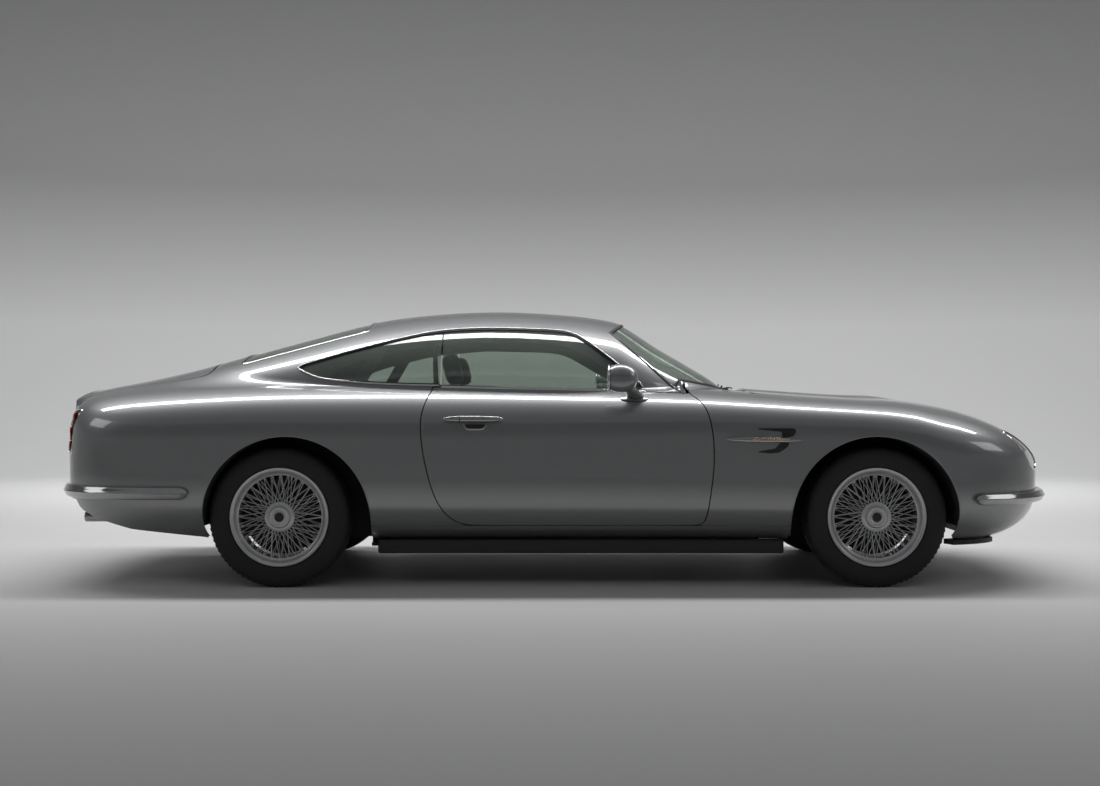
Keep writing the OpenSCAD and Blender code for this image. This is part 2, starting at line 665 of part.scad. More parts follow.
subframe_z = 200;
arm_low = 213;
arm_high = 428;
arm_wall = 10;
kingpin_y = wheel_y - 32;
module front_subframe() color([0.15, 0.15, 0.16]) {
    translate([front_axle - 50, -rail_y + seam, subframe_z]) cube([100, 2 * (rail_y - seam), 74]);
    both_sides() {
        translate([front_axle - 50, rail_y - 50, subframe_z + 70]) cube([100, 50 - seam, 172]);
        for (z = [arm_low - arm_wall, arm_high]) translate([front_axle - 20, rail_y - 50, z])
            cube([40, kingpin_y - rail_y + 50 + 16, arm_wall]);
        translate([front_axle, kingpin_y, arm_low - 1]) cylinder(arm_high - arm_low + 2, r = pivot_radius);
    }
}
module knuckle() color("gray") difference() {
    union() {
        translate([front_axle - 22, kingpin_y - 20, arm_low + 1]) cube([44, 40, arm_high - arm_low - 2]);
        translate([front_axle, kingpin_y, axle_height]) rotate([-90, 0, 0]) cylinder(wheel_y + 82 - kingpin_y, r = spindle_radius);
    }
    translate([front_axle, kingpin_y, 0]) cylinder(1000, r = pivot_radius + pin_room);
}
module knuckle_left() knuckle();
module knuckle_right() mirror([0, 1, 0]) knuckle();

module rear_axle() color([0.15, 0.15, 0.16]) translate([rear_axle_x, 0, axle_height]) {
    rotate([90, 0, 0]) cylinder(2 * (wheel_y + 82), r = spindle_radius, center = true);
    rotate([90, 0, 0]) cylinder(2 * (wheel_y - 50), r = 38, center = true);
    sphere(r = 105);
    both_sides() translate([0, 480, 30]) cylinder(boot_floor_z - axle_height - 30 - seam, r = 45);
}

// Wheel: rim barrel, hub with its bore and crossing spokes
hub_radius = 68;
spokes = 14;
module rim_profile() {
    w = tyre_width / 2 - 12;
    polygon([[rim_radius, w], [rim_radius, w - 8], [rim_radius - 16, w - 18], [rim_radius - 22, 0], [rim_radius - 16, 14 - w],
             [rim_radius, 4 - w], [rim_radius, -w], [rim_radius - 8, -w], [rim_radius - 25, 12 - w], [rim_radius - 31, 0],
             [rim_radius - 31, w - 28], [rim_radius - 42, w - 22], [rim_radius - 42, w - 16], [rim_radius - 8, w]]);
}
// Drawn about the x axis' origin with the outer side at +z
module wheel() color("silver") {
    difference() {
        union() {
            rotate_extrude($fn = 96) rim_profile();
            translate([0, 0, -5]) cylinder(95, r = 40);
            translate([0, 0, 66]) cylinder(8, r = hub_radius);
            rotate_extrude($fn = 64) polygon([[36, -5], [44, -5], [44, 30], [rim_radius - 28, 58], [rim_radius - 28, 66], [36, 40]]);
        }
        translate([0, 0, -10]) cylinder(92 + 0.5, r = spindle_radius + pin_room);
    }
}
module tyre() color([0.04, 0.04, 0.04]) rotate_extrude($fn = 96) {
    w = tyre_width / 2;
    polygon([[rim_radius + 0.4, w - 12], [rim_radius + 0.4, 12 - w], [rim_radius + 20, 4 - w], [tyre_radius - 40, -w],
             [tyre_radius - 12, 10 - w], [tyre_radius, 24 - w], [tyre_radius, w - 24], [tyre_radius - 12, w - 10],
             [tyre_radius - 40, w], [rim_radius + 20, w - 4]]);
}
module place_wheel(x, side) translate([x, side * wheel_y, axle_height]) rotate([-90 * side, 0, 0]) children();
module wheel_front_right() place_wheel(front_axle, -1) wheel();
module wheel_front_left() place_wheel(front_axle, 1) wheel();
module wheel_rear_right() place_wheel(rear_axle_x, -1) wheel();
module wheel_rear_left() place_wheel(rear_axle_x, 1) wheel();
module tyre_front_right() place_wheel(front_axle, -1) tyre();
module tyre_front_left() place_wheel(front_axle, 1) tyre();
module tyre_rear_right() place_wheel(rear_axle_x, -1) tyre();
module tyre_rear_left() place_wheel(rear_axle_x, 1) tyre();

module exhaust() color("gray") both_sides() translate([0, 500 * ky, 293]) {
    translate([-2284 * kx, 0, 0]) rotate([0, 90, 0]) difference() {
        cylinder(300 * kx, r = 25);
        translate([0, 0, -1]) cylinder(302 * kx, r = 22);
    }
    translate([-1990 * kx, -90, -50]) cube([220 * kx, 180, 96.5]);
}

underbody();
sills();
front_wings();
rear_body();
roof();
nose_panel();
grille();
tail_panel();
lower_trim();
bumpers();
wheelhouses();
headlamps();
tail_lamps();
windscreen();
rear_window();
quarter_windows();
cowl();
engine();
dashboard();
steering_wheel();
front_seats();
rear_seat();
front_subframe();
rear_axle();
exhaust();
hinge_posts();
bonnet();
bonnet_hinges();
boot_lid();
boot_hinges();
door_right();
door_glass_right();
door_hinges_right();
door_left();
door_glass_left();
door_hinges_left();
knuckle_right();
knuckle_left();
wheel_front_right();
wheel_front_left();
wheel_rear_right();
wheel_rear_left();
tyre_front_right();
tyre_front_left();
tyre_rear_right();
tyre_rear_left();
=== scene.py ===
# %% [markdown]
# # A classic fastback coupe
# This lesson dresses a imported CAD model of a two-door grand touring coupe. The CAD parts carry
# the sizes, the hinges and the wheels. Here every surface gets its smooth shape and its finish.
# All new pieces are surfaces worked out with numpy and put straight into meshes.

# %% Load the frame
import math
import bpy
import numpy as np
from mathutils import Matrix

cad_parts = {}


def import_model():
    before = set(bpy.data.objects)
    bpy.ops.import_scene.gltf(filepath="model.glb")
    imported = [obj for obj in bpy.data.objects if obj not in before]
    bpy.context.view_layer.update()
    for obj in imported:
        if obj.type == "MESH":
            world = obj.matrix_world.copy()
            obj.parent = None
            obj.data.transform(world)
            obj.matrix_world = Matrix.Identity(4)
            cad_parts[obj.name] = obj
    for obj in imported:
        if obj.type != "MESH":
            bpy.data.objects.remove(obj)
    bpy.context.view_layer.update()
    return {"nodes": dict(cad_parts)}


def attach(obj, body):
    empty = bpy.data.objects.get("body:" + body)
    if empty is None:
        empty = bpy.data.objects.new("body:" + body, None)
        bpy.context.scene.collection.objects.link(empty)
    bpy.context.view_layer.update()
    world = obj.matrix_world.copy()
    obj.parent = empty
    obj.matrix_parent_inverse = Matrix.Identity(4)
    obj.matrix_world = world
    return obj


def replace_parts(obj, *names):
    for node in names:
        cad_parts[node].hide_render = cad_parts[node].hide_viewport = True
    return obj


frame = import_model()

# %% [markdown]
# ## Camera first
# The camera stands level at about the height of the bonnet, nearly eight metres to the right of
# the car, with a normal 50 mm lens. Making it first fixes the view before any shape is judged.

# %% Camera
camera_data = bpy.data.cameras.new("side_camera")
camera_data.lens = 50.0
camera_data.sensor_width = 36.0
camera = bpy.data.objects.new("side_camera", camera_data)
camera.location = (-0.045, -7.9, 0.896)
camera.rotation_euler = (math.radians(90), 0, 0)
bpy.context.scene.collection.objects.link(camera)
bpy.context.scene.camera = camera
print("camera at", tuple(camera.location))

# %% [markdown]
# ## Mesh helpers
# A surface is a function of two parameters on a grid. `grid_faces` joins neighbouring grid points
# into quads, and `make_piece` puts arrays of points and faces into a mesh with `foreach_set`,
# which is much faster than a loop. Every piece is made in its place, with its object at the origin.

# %% Helpers for meshes
def grid_faces(rows, columns, wrap=False):
    """Quads between neighbouring points of a rows x columns grid; wrap joins the last column to the first."""
    i = np.arange(rows - 1)[:, None]
    j = np.arange(columns if wrap else columns - 1)[None, :]
    k = (j + 1) % columns
    a, b = i * columns + j, i * columns + k
    return np.stack([a, b, b + columns, a + columns], axis=-1).reshape(-1, 4)


def make_piece(name, points, faces, material, body="root", smooth=True, normals=None):
    """Puts points (n, 3) and faces (lists of index arrays) into a mesh object that rides on a body."""
    groups = faces if isinstance(faces, list) else [faces]
    groups = [np.asarray(g) for g in groups if len(g)]
    loops = np.concatenate([g.reshape(-1) for g in groups]).astype(np.int32)
    totals = np.concatenate([np.full(len(g), g.shape[1]) for g in groups]).astype(np.int32)
    starts = np.concatenate([[0], np.cumsum(totals)[:-1]]).astype(np.int32)
    mesh = bpy.data.meshes.new(name)
    mesh.vertices.add(len(points))
    mesh.vertices.foreach_set("co", np.asarray(points, dtype=np.float32).reshape(-1))
    mesh.loops.add(len(loops))
    mesh.loops.foreach_set("vertex_index", loops)
    mesh.polygons.add(len(totals))
    mesh.polygons.foreach_set("loop_start", starts)
    mesh.polygons.foreach_set("loop_total", totals)
    mesh.polygons.foreach_set("use_smooth", np.full(len(totals), smooth))
    mesh.update(calc_edges=True)
    mesh.validate(clean_customdata=False)
    if normals is not None:
        mesh.normals_split_custom_set(np.asarray(normals, dtype=np.float32))
    mesh.materials.append(material)
    piece = bpy.data.objects.new(name, mesh)
    bpy.context.scene.collection.objects.link(piece)
    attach(piece, body)
    return piece


def mirrored(points):
    """The same points on the car's other side: y changes sign."""
    return points * np.array([1.0, -1.0, 1.0])


def sharpen(piece, angle=35):
    """Marks the edges that turn by more than an angle as sharp, so flat faces stay flat in the shading."""
    piece.data.set_sharp_from_angle(angle=math.radians(angle))
    return piece


def normal_to(tangent, hint):
    """Two unit directions across a path: the hint made square to the tangent, and their cross product."""
    t = tangent / np.linalg.norm(tangent, axis=-1, keepdims=True)
    n = hint - (hint * t).sum(-1, keepdims=True) * t
    n /= np.linalg.norm(n, axis=-1, keepdims=True)
    return n, np.cross(t, n)


def swept(path, profile, hint, closed=False, capped=True):
    """Carries a closed profile (m, 2) along a path (n, 3): point = path + p0 * side + p1 * up."""
    path = np.asarray(path, float)
    tangent = (np.roll(path, -1, 0) - np.roll(path, 1, 0)) if closed else np.gradient(path, axis=0)
    up, side = normal_to(tangent, np.broadcast_to(np.asarray(hint, float), path.shape))
    profile = np.asarray(profile, float)
    scaled = profile if profile.ndim == 3 else np.broadcast_to(profile, (len(path),) + profile.shape)
    points = path[:, None] + scaled[..., :1] * side[:, None] + scaled[..., 1:] * up[:, None]
    rows, columns = points.shape[:2]
    faces = grid_faces(rows, columns, wrap=True)
    if closed:
        last = (rows - 1) * columns + np.arange(columns)
        first = np.arange(columns)
        faces = np.concatenate([faces, np.stack([last, np.roll(last, -1), np.roll(first, -1), first], 1)])
    flat = points.reshape(-1, 3)
    if capped and not closed:
        middle = np.stack([points[0].mean(0), points[-1].mean(0)])
        n = len(flat)
        flat = np.concatenate([flat, middle])
        ring = np.arange(columns)
        start = np.stack([ring, np.full(columns, n), np.full(columns, n), np.roll(ring, -1)], 1)
        end_ring = ring + (rows - 1) * columns
        end = np.stack([end_ring, np.roll(end_ring, -1), np.full(columns, n + 1), np.full(columns, n + 1)], 1)
        return flat, [faces, start[:, [0, 1, 3]], end[:, [0, 1, 2]]]
    return flat, [faces]


def turned(profile, steps=96, start=0.0):
    """Turns a closed profile of (radius, height) round the z axis: x = r cos a, y = r sin a."""
    profile = np.asarray(profile, float)
    a = start + np.linspace(0, 2 * np.pi, steps, endpoint=False)[:, None]
    points = np.stack([profile[:, 0] * np.cos(a), profile[:, 0] * np.sin(a),
                       np.broadcast_to(profile[:, 1], (steps, len(profile)))], -1)
    faces = grid_faces(steps, len(profile), wrap=True)
    m = len(profile)
    last, first = (steps - 1) * m + np.arange(m), np.arange(m)
    faces = np.concatenate([faces, np.stack([last, np.roll(last, -1), np.roll(first, -1), first], 1)])
    return points.reshape(-1, 3), faces


def outward(piece):
    """Recalculates a closed mesh's faces to point outwards, after merging doubled points."""
    import bmesh
    work = bmesh.new()
    work.from_mesh(piece.data)
    bmesh.ops.remove_doubles(work, verts=work.verts, dist=1e-6)
    bmesh.ops.dissolve_degenerate(work, edges=work.edges, dist=1e-7)
    bmesh.ops.recalc_face_normals(work, faces=work.faces)
    work.to_mesh(piece.data)
    work.free()
    return piece


def add_shape(name, shape, material, body="root", angle=35):
    """Makes a piece of a closed shape, turns its faces outwards and keeps its sharp edges."""
    points, faces = shape
    groups = faces if isinstance(faces, list) else [faces]
    return sharpen(outward(make_piece(name, points, groups, material, body)), angle)


print("mesh helpers ready")

# %% [markdown]
# ## Materials
# Each finish is a small node tree. Patterns read Object coordinates, and because every object
# stays at the origin the pattern is fixed to the car in metres. A value that is the same all
# over is written straight on the shader's socket, and noise adds what the real finish shows.

# %% Helpers for materials
def new_material(name, color, roughness=0.5, metallic=0.0, **sockets):
    """A material with its main values set on the Principled shader itself."""
    material = bpy.data.materials.new(name)
    material.use_nodes = True
    shader = material.node_tree.nodes["Principled BSDF"]
    shader.inputs["Base Color"].default_value = (*color, 1.0)
    shader.inputs["Roughness"].default_value = roughness
    shader.inputs["Metallic"].default_value = metallic
    for socket, value in sockets.items():
        shader.inputs[socket.replace("_", " ")].default_value = value
    material.diffuse_color = (*color, 1.0)
    return material, material.node_tree, shader


def noise(tree, scale, detail=3.0, kind="ShaderNodeTexNoise"):
    """A noise or cell texture on Object coordinates, with its scale in patterns a metre."""
    coordinates = tree.nodes.new("ShaderNodeTexCoord")
    texture = tree.nodes.new(kind)
    texture.inputs["Scale"].default_value = scale
    if "Detail" in texture.inputs:
        texture.inputs["Detail"].default_value = detail
    tree.links.new(coordinates.outputs["Object"], texture.inputs["Vector"])
    return texture


def spread(tree, source, low, high, start=0.3, stop=0.7):
    """Maps a texture's value from start..stop onto low..high."""
    node = tree.nodes.new("ShaderNodeMapRange")
    for socket, value in (("From Min", start), ("From Max", stop), ("To Min", low), ("To Max", high)):
        node.inputs[socket].default_value = value
    tree.links.new(source, node.inputs["Value"])
    return node.outputs["Result"]


def mix_colors(tree, factor, dark, light):
    """A colour between two, chosen by a value from 0 to 1."""
    node = tree.nodes.new("ShaderNodeMix")
    node.data_type = "RGBA"
    tree.links.new(factor, node.inputs["Factor"])
    for socket, color in (("A", dark), ("B", light)):
        if isinstance(color, tuple):
            node.inputs[socket].default_value = (*color, 1.0)
        else:
            tree.links.new(color, node.inputs[socket])
    return node.outputs["Result"]


def bump(tree, shader, height, strength, distance):
    """Raises a surface by a texture's value, distance metres at most."""
    node = tree.nodes.new("ShaderNodeBump")
    node.inputs["Strength"].default_value = strength
    node.inputs["Distance"].default_value = distance
    tree.links.new(height, node.inputs["Height"])
    tree.links.new(node.outputs["Normal"], shader.inputs["Normal"])


def varied(name, color, roughness, metallic=0.0, scale=8.0, shade=0.12, rough_shift=0.05, grain=None,
           **sockets):
    """A finish whose colour and roughness drift a little over the surface, with an optional fine grain."""
    material, tree, shader = new_material(name, color, roughness, metallic, **sockets)
    drift = noise(tree, scale)
    dark = tuple(c * (1 - shade) for c in color)
    light = tuple(min(c * (1 + shade), 1) for c in color)
    factor = spread(tree, drift.outputs["Fac"], 0, 1)
    tree.links.new(mix_colors(tree, factor, dark, light), shader.inputs["Base Color"])
    tree.links.new(spread(tree, drift.outputs["Fac"], roughness - rough_shift, roughness + rough_shift),
                   shader.inputs["Roughness"])
    if grain:
        grain_scale, depth, kind = grain
        texture = noise(tree, grain_scale, 4.0, kind)
        bump(tree, shader, texture.outputs[0], 0.6, depth)
    return material


# %% [markdown]
# ### Metallic paint
# Dark silver-grey metallic paint is tiny aluminium flakes in a grey binder, under a clear coat.
# The flakes are a fine cell pattern that changes the brightness a little, and the clear coat is
# the shader's own coat layer, so it gives the sharp reflections of a polished car.

# %% Paint
CELLS, NOISE = "ShaderNodeTexVoronoi", "ShaderNodeTexNoise"


def metallic_paint():
    """Grey metal base, brightness varied by 1 mm flakes, with a smooth clear coat on top."""
    material, tree, shader = new_material("metallic_grey_paint", (0.12, 0.122, 0.125), 0.40, 0.7,
                                          Coat_Weight=1.0, Coat_Roughness=0.02, Coat_IOR=1.9)
    flakes = noise(tree, 900.0, kind=CELLS)
    tone = spread(tree, flakes.outputs["Color"], 0, 1, 0.0, 1.0)
    tree.links.new(mix_colors(tree, tone, (0.18, 0.183, 0.188), (0.25, 0.254, 0.26)),
                   shader.inputs["Base Color"])
    return material


PAINT = metallic_paint()
CHROME = varied("polished_chrome", (0.80, 0.80, 0.80), 0.07, 1.0, 14, 0.03, 0.02)
BRIGHT = varied("dark_polished_trim", (0.46, 0.46, 0.465), 0.10, 1.0, 14, 0.05, 0.03)
WIRE = varied("silver_wheel_paint", (0.62, 0.62, 0.63), 0.36, 0.6, 30, 0.05, 0.05)
SATIN = varied("brushed_alloy", (0.42, 0.42, 0.43), 0.26, 1.0, 40, 0.1, 0.06, (420, 0.0001, NOISE))
BLACK = varied("black_plastic", (0.018, 0.018, 0.019), 0.5, 0.0, 20, 0.2, 0.08, (900, 0.0001, NOISE))
GLOSS_BLACK = varied("gloss_black", (0.012, 0.012, 0.013), 0.14, 0.0, 16, 0.15, 0.03)
SEAL = varied("rubber_seal", (0.015, 0.015, 0.015), 0.62, 0.0, 60, 0.2, 0.06, (500, 0.0001, NOISE))
UNDERSIDE = varied("underseal", (0.022, 0.022, 0.023), 0.75, 0.0, 12, 0.3, 0.1, (180, 0.0006, NOISE))
LEATHER = varied("black_leather", (0.024, 0.022, 0.021), 0.46, 0.0, 10, 0.25, 0.08, (260, 0.0005, CELLS))
CARPET = varied("carpet", (0.02, 0.02, 0.021), 0.95, 0.0, 30, 0.3, 0.04, (1400, 0.0012, NOISE),
                Sheen_Weight=0.4)
HEADLINING = varied("headlining", (0.03, 0.03, 0.031), 0.9, 0.0, 30, 0.15, 0.04, (1100, 0.0004, NOISE))
ALLOY = varied("cast_alloy", (0.45, 0.45, 0.46), 0.42, 1.0, 20, 0.15, 0.08, (300, 0.0005, NOISE))
STEEL = varied("exhaust_steel", (0.52, 0.50, 0.48), 0.3, 1.0, 18, 0.15, 0.08, (600, 0.0002, NOISE))
COPPER = varied("warm_metal", (0.62, 0.36, 0.22), 0.28, 1.0, 40, 0.1, 0.05)
RED_LENS = varied("red_lens", (0.42, 0.012, 0.01), 0.08, 0.0, 120, 0.35, 0.03, (260, 0.0008, CELLS),
                  Coat_Weight=1.0)
TYRE = varied("tyre_rubber", (0.017, 0.017, 0.017), 0.68, 0.0, 25, 0.2, 0.08, (700, 0.0003, NOISE))


def tinted_glass(name, color, weight=0.85):
    """Thin tinted glass: mostly clear, green grey where light passes, mirror-like at a low angle."""
    material, tree, shader = new_material(name, color, 0.02, 0.0, Transmission_Weight=weight, IOR=1.45)
    smear = noise(tree, 3.0)
    tree.links.new(spread(tree, smear.outputs["Fac"], 0.01, 0.035), shader.inputs["Roughness"])
    return material


def wood():
    """Dark varnished wood with stretched rings for the steering wheel's rim and the gear knob."""
    material, tree, shader = new_material("varnished_wood", (0.16, 0.06, 0.025), 0.22, 0.0, Coat_Weight=0.8)
    rings = noise(tree, 60.0, 6.0)
    tone = spread(tree, rings.outputs["Fac"], 0, 1, 0.35, 0.65)
    tree.links.new(mix_colors(tree, tone, (0.09, 0.03, 0.012), (0.24, 0.1, 0.04)),
                   shader.inputs["Base Color"])
    return material


GLASS = tinted_glass("tinted_glass", (0.62, 0.70, 0.64), 0.9)
CLEAR = tinted_glass("clear_cover", (0.95, 0.96, 0.97), 0.95)
WOOD = wood()
print(len(bpy.data.materials), "materials")

# %% [markdown]
# ## The body as one surface
# A real body side is pressed from sheets that follow one drawing. Here the drawing is one
# function: for a place x along the car and an angle a round the car's axis it gives the distance
# to the skin. The lower body is a superellipse, the cabin another one, and a smooth maximum
# joins them with a fillet. It is the same rule as in the CAD source, so the panels fit the frame.

# %% Tables of the body's shape (millimetres)
# Lower body: x, half width, height of the widest line, height of the crown, roundness
LOWER = np.array([
    [-2370, 925, 600, 912, 3.4], [-2136, 940, 600, 927, 3.5], [-1681, 950, 600, 955, 3.6],
    [-1292, 950, 597, 972, 3.6], [-595, 934, 586, 976, 3.6], [184, 926, 578, 953, 4.0],
    [642, 926, 570, 926, 4.7], [1086, 936, 560, 893, 5.1], [1419, 945, 552, 872, 5.2],
    [1641, 946, 545, 868, 4.4], [1808, 946, 538, 868, 3.6], [2350, 946, 520, 868, 2.8]])
# Cabin: x, height of its crown, half width at its foot, radius of the fillet at its foot
CABIN = np.array([
    [-2370, 760, 480, 60], [-2330, 893, 500, 60], [-2236, 909, 520, 70], [-2078, 946, 548, 80],
    [-1826, 1013, 600, 90], [-1560, 1087, 650, 80], [-1291, 1161, 694, 40], [-918, 1256, 738, 16],
    [-600, 1297, 757, 12], [-280, 1309, 766, 12], [56, 1291, 768, 12], [241, 1266, 768, 12],
    [322, 1241, 768, 12], [502, 1127, 768, 12], [657, 1037, 768, 14], [768, 970, 768, 16],
    [870, 890, 768, 20], [960, 800, 768, 20]])
NOSE_TIP, NOSE_START = 2350.0, 1500.0
TAIL_TIP, TAIL_START = -2370.0, -1500.0
CABIN_FOOT, CABIN_ROUND, SCREEN_TIP = 860.0, 2.4, 905.0
LOW_ROUND, LOW_LINE = 3.6, 150.0
print("body tables:", LOWER.shape, CABIN.shape)


# %% Body functions
def smooth(table, x, column):
    """Value of a column at x by cubic steps: each row's slope is that of the line between its neighbours."""
    t, v = table[:, 0], table[:, column]
    slopes = np.concatenate([[(v[1] - v[0]) / (t[1] - t[0])], (v[2:] - v[:-2]) / (t[2:] - t[:-2]),
                             [(v[-1] - v[-2]) / (t[-1] - t[-2])]])
    i = np.clip(np.searchsorted(t, x, side="right") - 1, 0, len(t) - 2)
    w = t[i + 1] - t[i]
    u = np.clip((x - t[i]) / w, 0, 1)
    return (v[i] * (1 - 3 * u**2 + 2 * u**3) + v[i + 1] * (3 * u**2 - 2 * u**3)
            + w * slopes[i] * (u - 2 * u**2 + u**3) + w * slopes[i + 1] * (u**3 - u**2))


def closing(x, start, tip, power):
    """How far an end has closed at x: (1 - u^p)^(1/p), 1 where it starts and 0 at its tip."""
    u = np.clip((x - start) / (tip - start), 0, 1)
    return np.maximum(1 - u**power, 1e-6) ** (1 / power)


def ends(x, nose_power, tail_power):
    """Both ends' closing together."""
    return closing(x, NOSE_START, NOSE_TIP, nose_power) * closing(x, TAIL_START, TAIL_TIP, tail_power)


def section(x):
    """Widest height, half width, rise to the crown, drop to the keel and roundness of the lower body at x."""
    widest = smooth(LOWER, x, 2)
    return (widest, smooth(LOWER, x, 1) * ends(x, 3, 4.4), (smooth(LOWER, x, 3) - widest) * ends(x, 1.9, 8),
            (widest - LOW_LINE) * ends(x, 3.2, 4.5), smooth(LOWER, x, 4))


def body_radius(x, a):
    """Distance from the axis to the skin at angle a (radians), with the ridge along the bonnet added."""
    widest, half, up, down, roundness = section(x)
    power = np.where(a > 0, roundness, LOW_ROUND)
    height = np.where(a > 0, up, down)
    lower = ((np.cos(a) / half) ** power + (np.abs(np.sin(a)) / height) ** power) ** (-1 / power)
    foot = smooth(CABIN, x, 2) * closing(x, 0, SCREEN_TIP, 2)
    rise = smooth(CABIN, x, 1) - CABIN_FOOT
    there = (a >= math.radians(8)) & (foot >= 5) & (rise >= 5)
    foot, rise = np.maximum(foot, 5), np.maximum(rise, 5)
    low, high = np.zeros_like(a + x), np.full_like(a + x, 900.0)
    for _ in range(22):
        middle = (low + high) / 2
        z = np.maximum(widest + middle * np.sin(a) - CABIN_FOOT, 0)
        outside = (middle * np.cos(a) / foot) ** CABIN_ROUND + (z / rise) ** CABIN_ROUND > 1
        low, high = np.where(outside, low, middle), np.where(outside, middle, high)
    cabin = np.where(there, (low + high) / 2, 0)
    fillet = smooth(CABIN, x, 3)
    blend = np.maximum(fillet - np.abs(lower - cabin), 0) / fillet
    radius = np.maximum(lower, cabin) + blend**2 * fillet / 4
    ridge = 17 * np.sin(np.clip((1880 - x) / 320, 0,
                                1) * np.pi / 2) ** 2 * np.exp(-(radius * np.cos(a) / 210) ** 4)
    return radius + np.where(x < 930, 0, ridge) * np.maximum(np.sin(a), 0)


SPACING = np.array([-90, -70, -55, -45, -37, -30, -24, -18, -12, -6, 0, 6, 11, 15, 18, 20.5, 22.5, 24.5, 26.5,
                    29,
                    33, 38, 44, 51, 59, 68, 78, 90])


def body_point(s, v):
    """Point of the right side: x = middle + half * sin(s), angle spaced by v from 0 (keel) to 1 (crown)."""
    x = (NOSE_TIP + TAIL_TIP) / 2 + (NOSE_TIP - TAIL_TIP) / 2 * np.sin(np.radians(s))
    a = np.radians(np.interp(v * (len(SPACING) - 1), np.arange(len(SPACING)), SPACING))
    return place(x, a)


def place(x, a):
    """The skin's point in metres at x and angle a, on the right side of the car (y below 0)."""
    r = body_radius(x, a)
    return np.stack([x + 0 * a, -r * np.cos(a), smooth(LOWER, x, 2) + r * np.sin(a)], axis=-1) / 1000


def body_normal(s, v):
    """Outward unit normal: the cross product of the surface's two directions, by steps in x and angle."""
    x = (NOSE_TIP + TAIL_TIP) / 2 + (NOSE_TIP - TAIL_TIP) / 2 * np.sin(np.radians(s))
    a = np.radians(np.interp(v * (len(SPACING) - 1), np.arange(len(SPACING)), SPACING))
    dx = np.minimum(2.0, np.minimum(NOSE_TIP - 0.02 - x, x - TAIL_TIP - 0.02))
    da = 0.004
    along = place(x + dx, a) - place(x - dx, a)
    around = place(x, np.minimum(a + da, np.pi / 2)) - place(x, np.maximum(a - da, -np.pi / 2))
    n = np.cross(along, around)
    return n / np.maximum(np.linalg.norm(n, axis=-1, keepdims=True), 1e-12)


probe = body_point(np.array([0.0, 30.0]), np.array([0.5, 0.5]))
upright = body_normal(np.array([0.0]), np.array([0.4]))
print("skin at mid-length:", probe.round(3).tolist(), "normal:", upright.round(2).tolist())

# %% [markdown]
# ## Outlines of the panels
# Doors, windows and lids are outlines seen from the side or from above. A signed distance says
# how far a point is inside (below 0) or outside an outline. Distances combine like sets: the
# larger of two keeps what both hold, and a sign change turns a shape into a hole.

# %% Outline helpers
def cut_corners(points, radius, steps=5):
    """A closed outline whose corners are rounded by quadratic curves that start radius before each corner."""
    p = np.asarray(points, float)
    back, ahead = np.roll(p, 1, 0) - p, np.roll(p, -1, 0) - p
    lb, la = np.linalg.norm(back, axis=1, keepdims=True), np.linalg.norm(ahead, axis=1, keepdims=True)
    start = p + back / lb * np.minimum(radius, lb * 0.45)
    stop = p + ahead / la * np.minimum(radius, la * 0.45)
    u = np.linspace(0, 1, steps)[None, :, None]
    curve = (1 - u) ** 2 * start[:, None] + 2 * u * (1 - u) * p[:, None] + u**2 * stop[:, None]
    return curve.reshape(-1, 2)


def distance(outline, px, py):
    """Signed distance in metres to a closed outline in millimetres: negative inside."""
    a = np.asarray(outline, float) / 1000
    b = np.roll(a, -1, 0)
    shape = np.shape(px)
    p = np.stack([np.ravel(px), np.ravel(py)], 1)
    best = np.full(len(p), 1e9)
    inside = np.zeros(len(p), bool)
    for (ax, ay), (bx, by) in zip(a, b):
        ex, ey = bx - ax, by - ay
        wx, wy = p[:, 0] - ax, p[:, 1] - ay
        t = np.clip((wx * ex + wy * ey) / max(ex * ex + ey * ey, 1e-12), 0, 1)
        best = np.minimum(best, (wx - ex * t) ** 2 + (wy - ey * t) ** 2)
        if by != ay:
            crosses = ((ay > p[:, 1]) != (by > p[:, 1])) & (p[:, 0] < ex * (p[:, 1] - ay) / ey + ax)
            inside ^= crosses
    return (np.sqrt(best) * np.where(inside, -1, 1)).reshape(shape)


def side(outline):
    """A distance function for an outline of x and z, looked at from the side."""
    return lambda p: distance(outline, p[..., 0], p[..., 2])


def plan(outline):
    """A distance function for an outline of x and y, looked at from above; both halves are alike."""
    return lambda p: distance(outline, p[..., 0], np.abs(p[..., 1]))


def grow(zone, metres):
    """The same zone, larger all round."""
    return lambda p: zone(p) - metres


def both(*zones):
    """What all zones hold."""
    return lambda p: np.max([z(p) for z in zones], axis=0)


def either(*zones):
    """What any zone holds."""
    return lambda p: np.min([z(p) for z in zones], axis=0)


def without(zone, *holes):
    """A zone with holes taken out."""
    return lambda p: np.max([zone(p)] + [-h(p) for h in holes], axis=0)


def beyond(axis, value):
    """All points past a plane: p[axis] > value (metres)."""
    return lambda p: value - p[..., axis]


def before(axis, value):
    """All points short of a plane: p[axis] < value (metres)."""
    return lambda p: p[..., axis] - value


print("outline helpers ready")

# %% [markdown]
# ### Cutting a panel out of the surface
# The grid covers the panel's surroundings. Points near an outline slide along the surface until
# they lie on it, squares inside are kept, and squares with three points inside give a triangle.
# Then the sheet gets an inner face and a rim. Shading normals come from the formula, so
# reflections flow across the shut lines as they do on a real car.

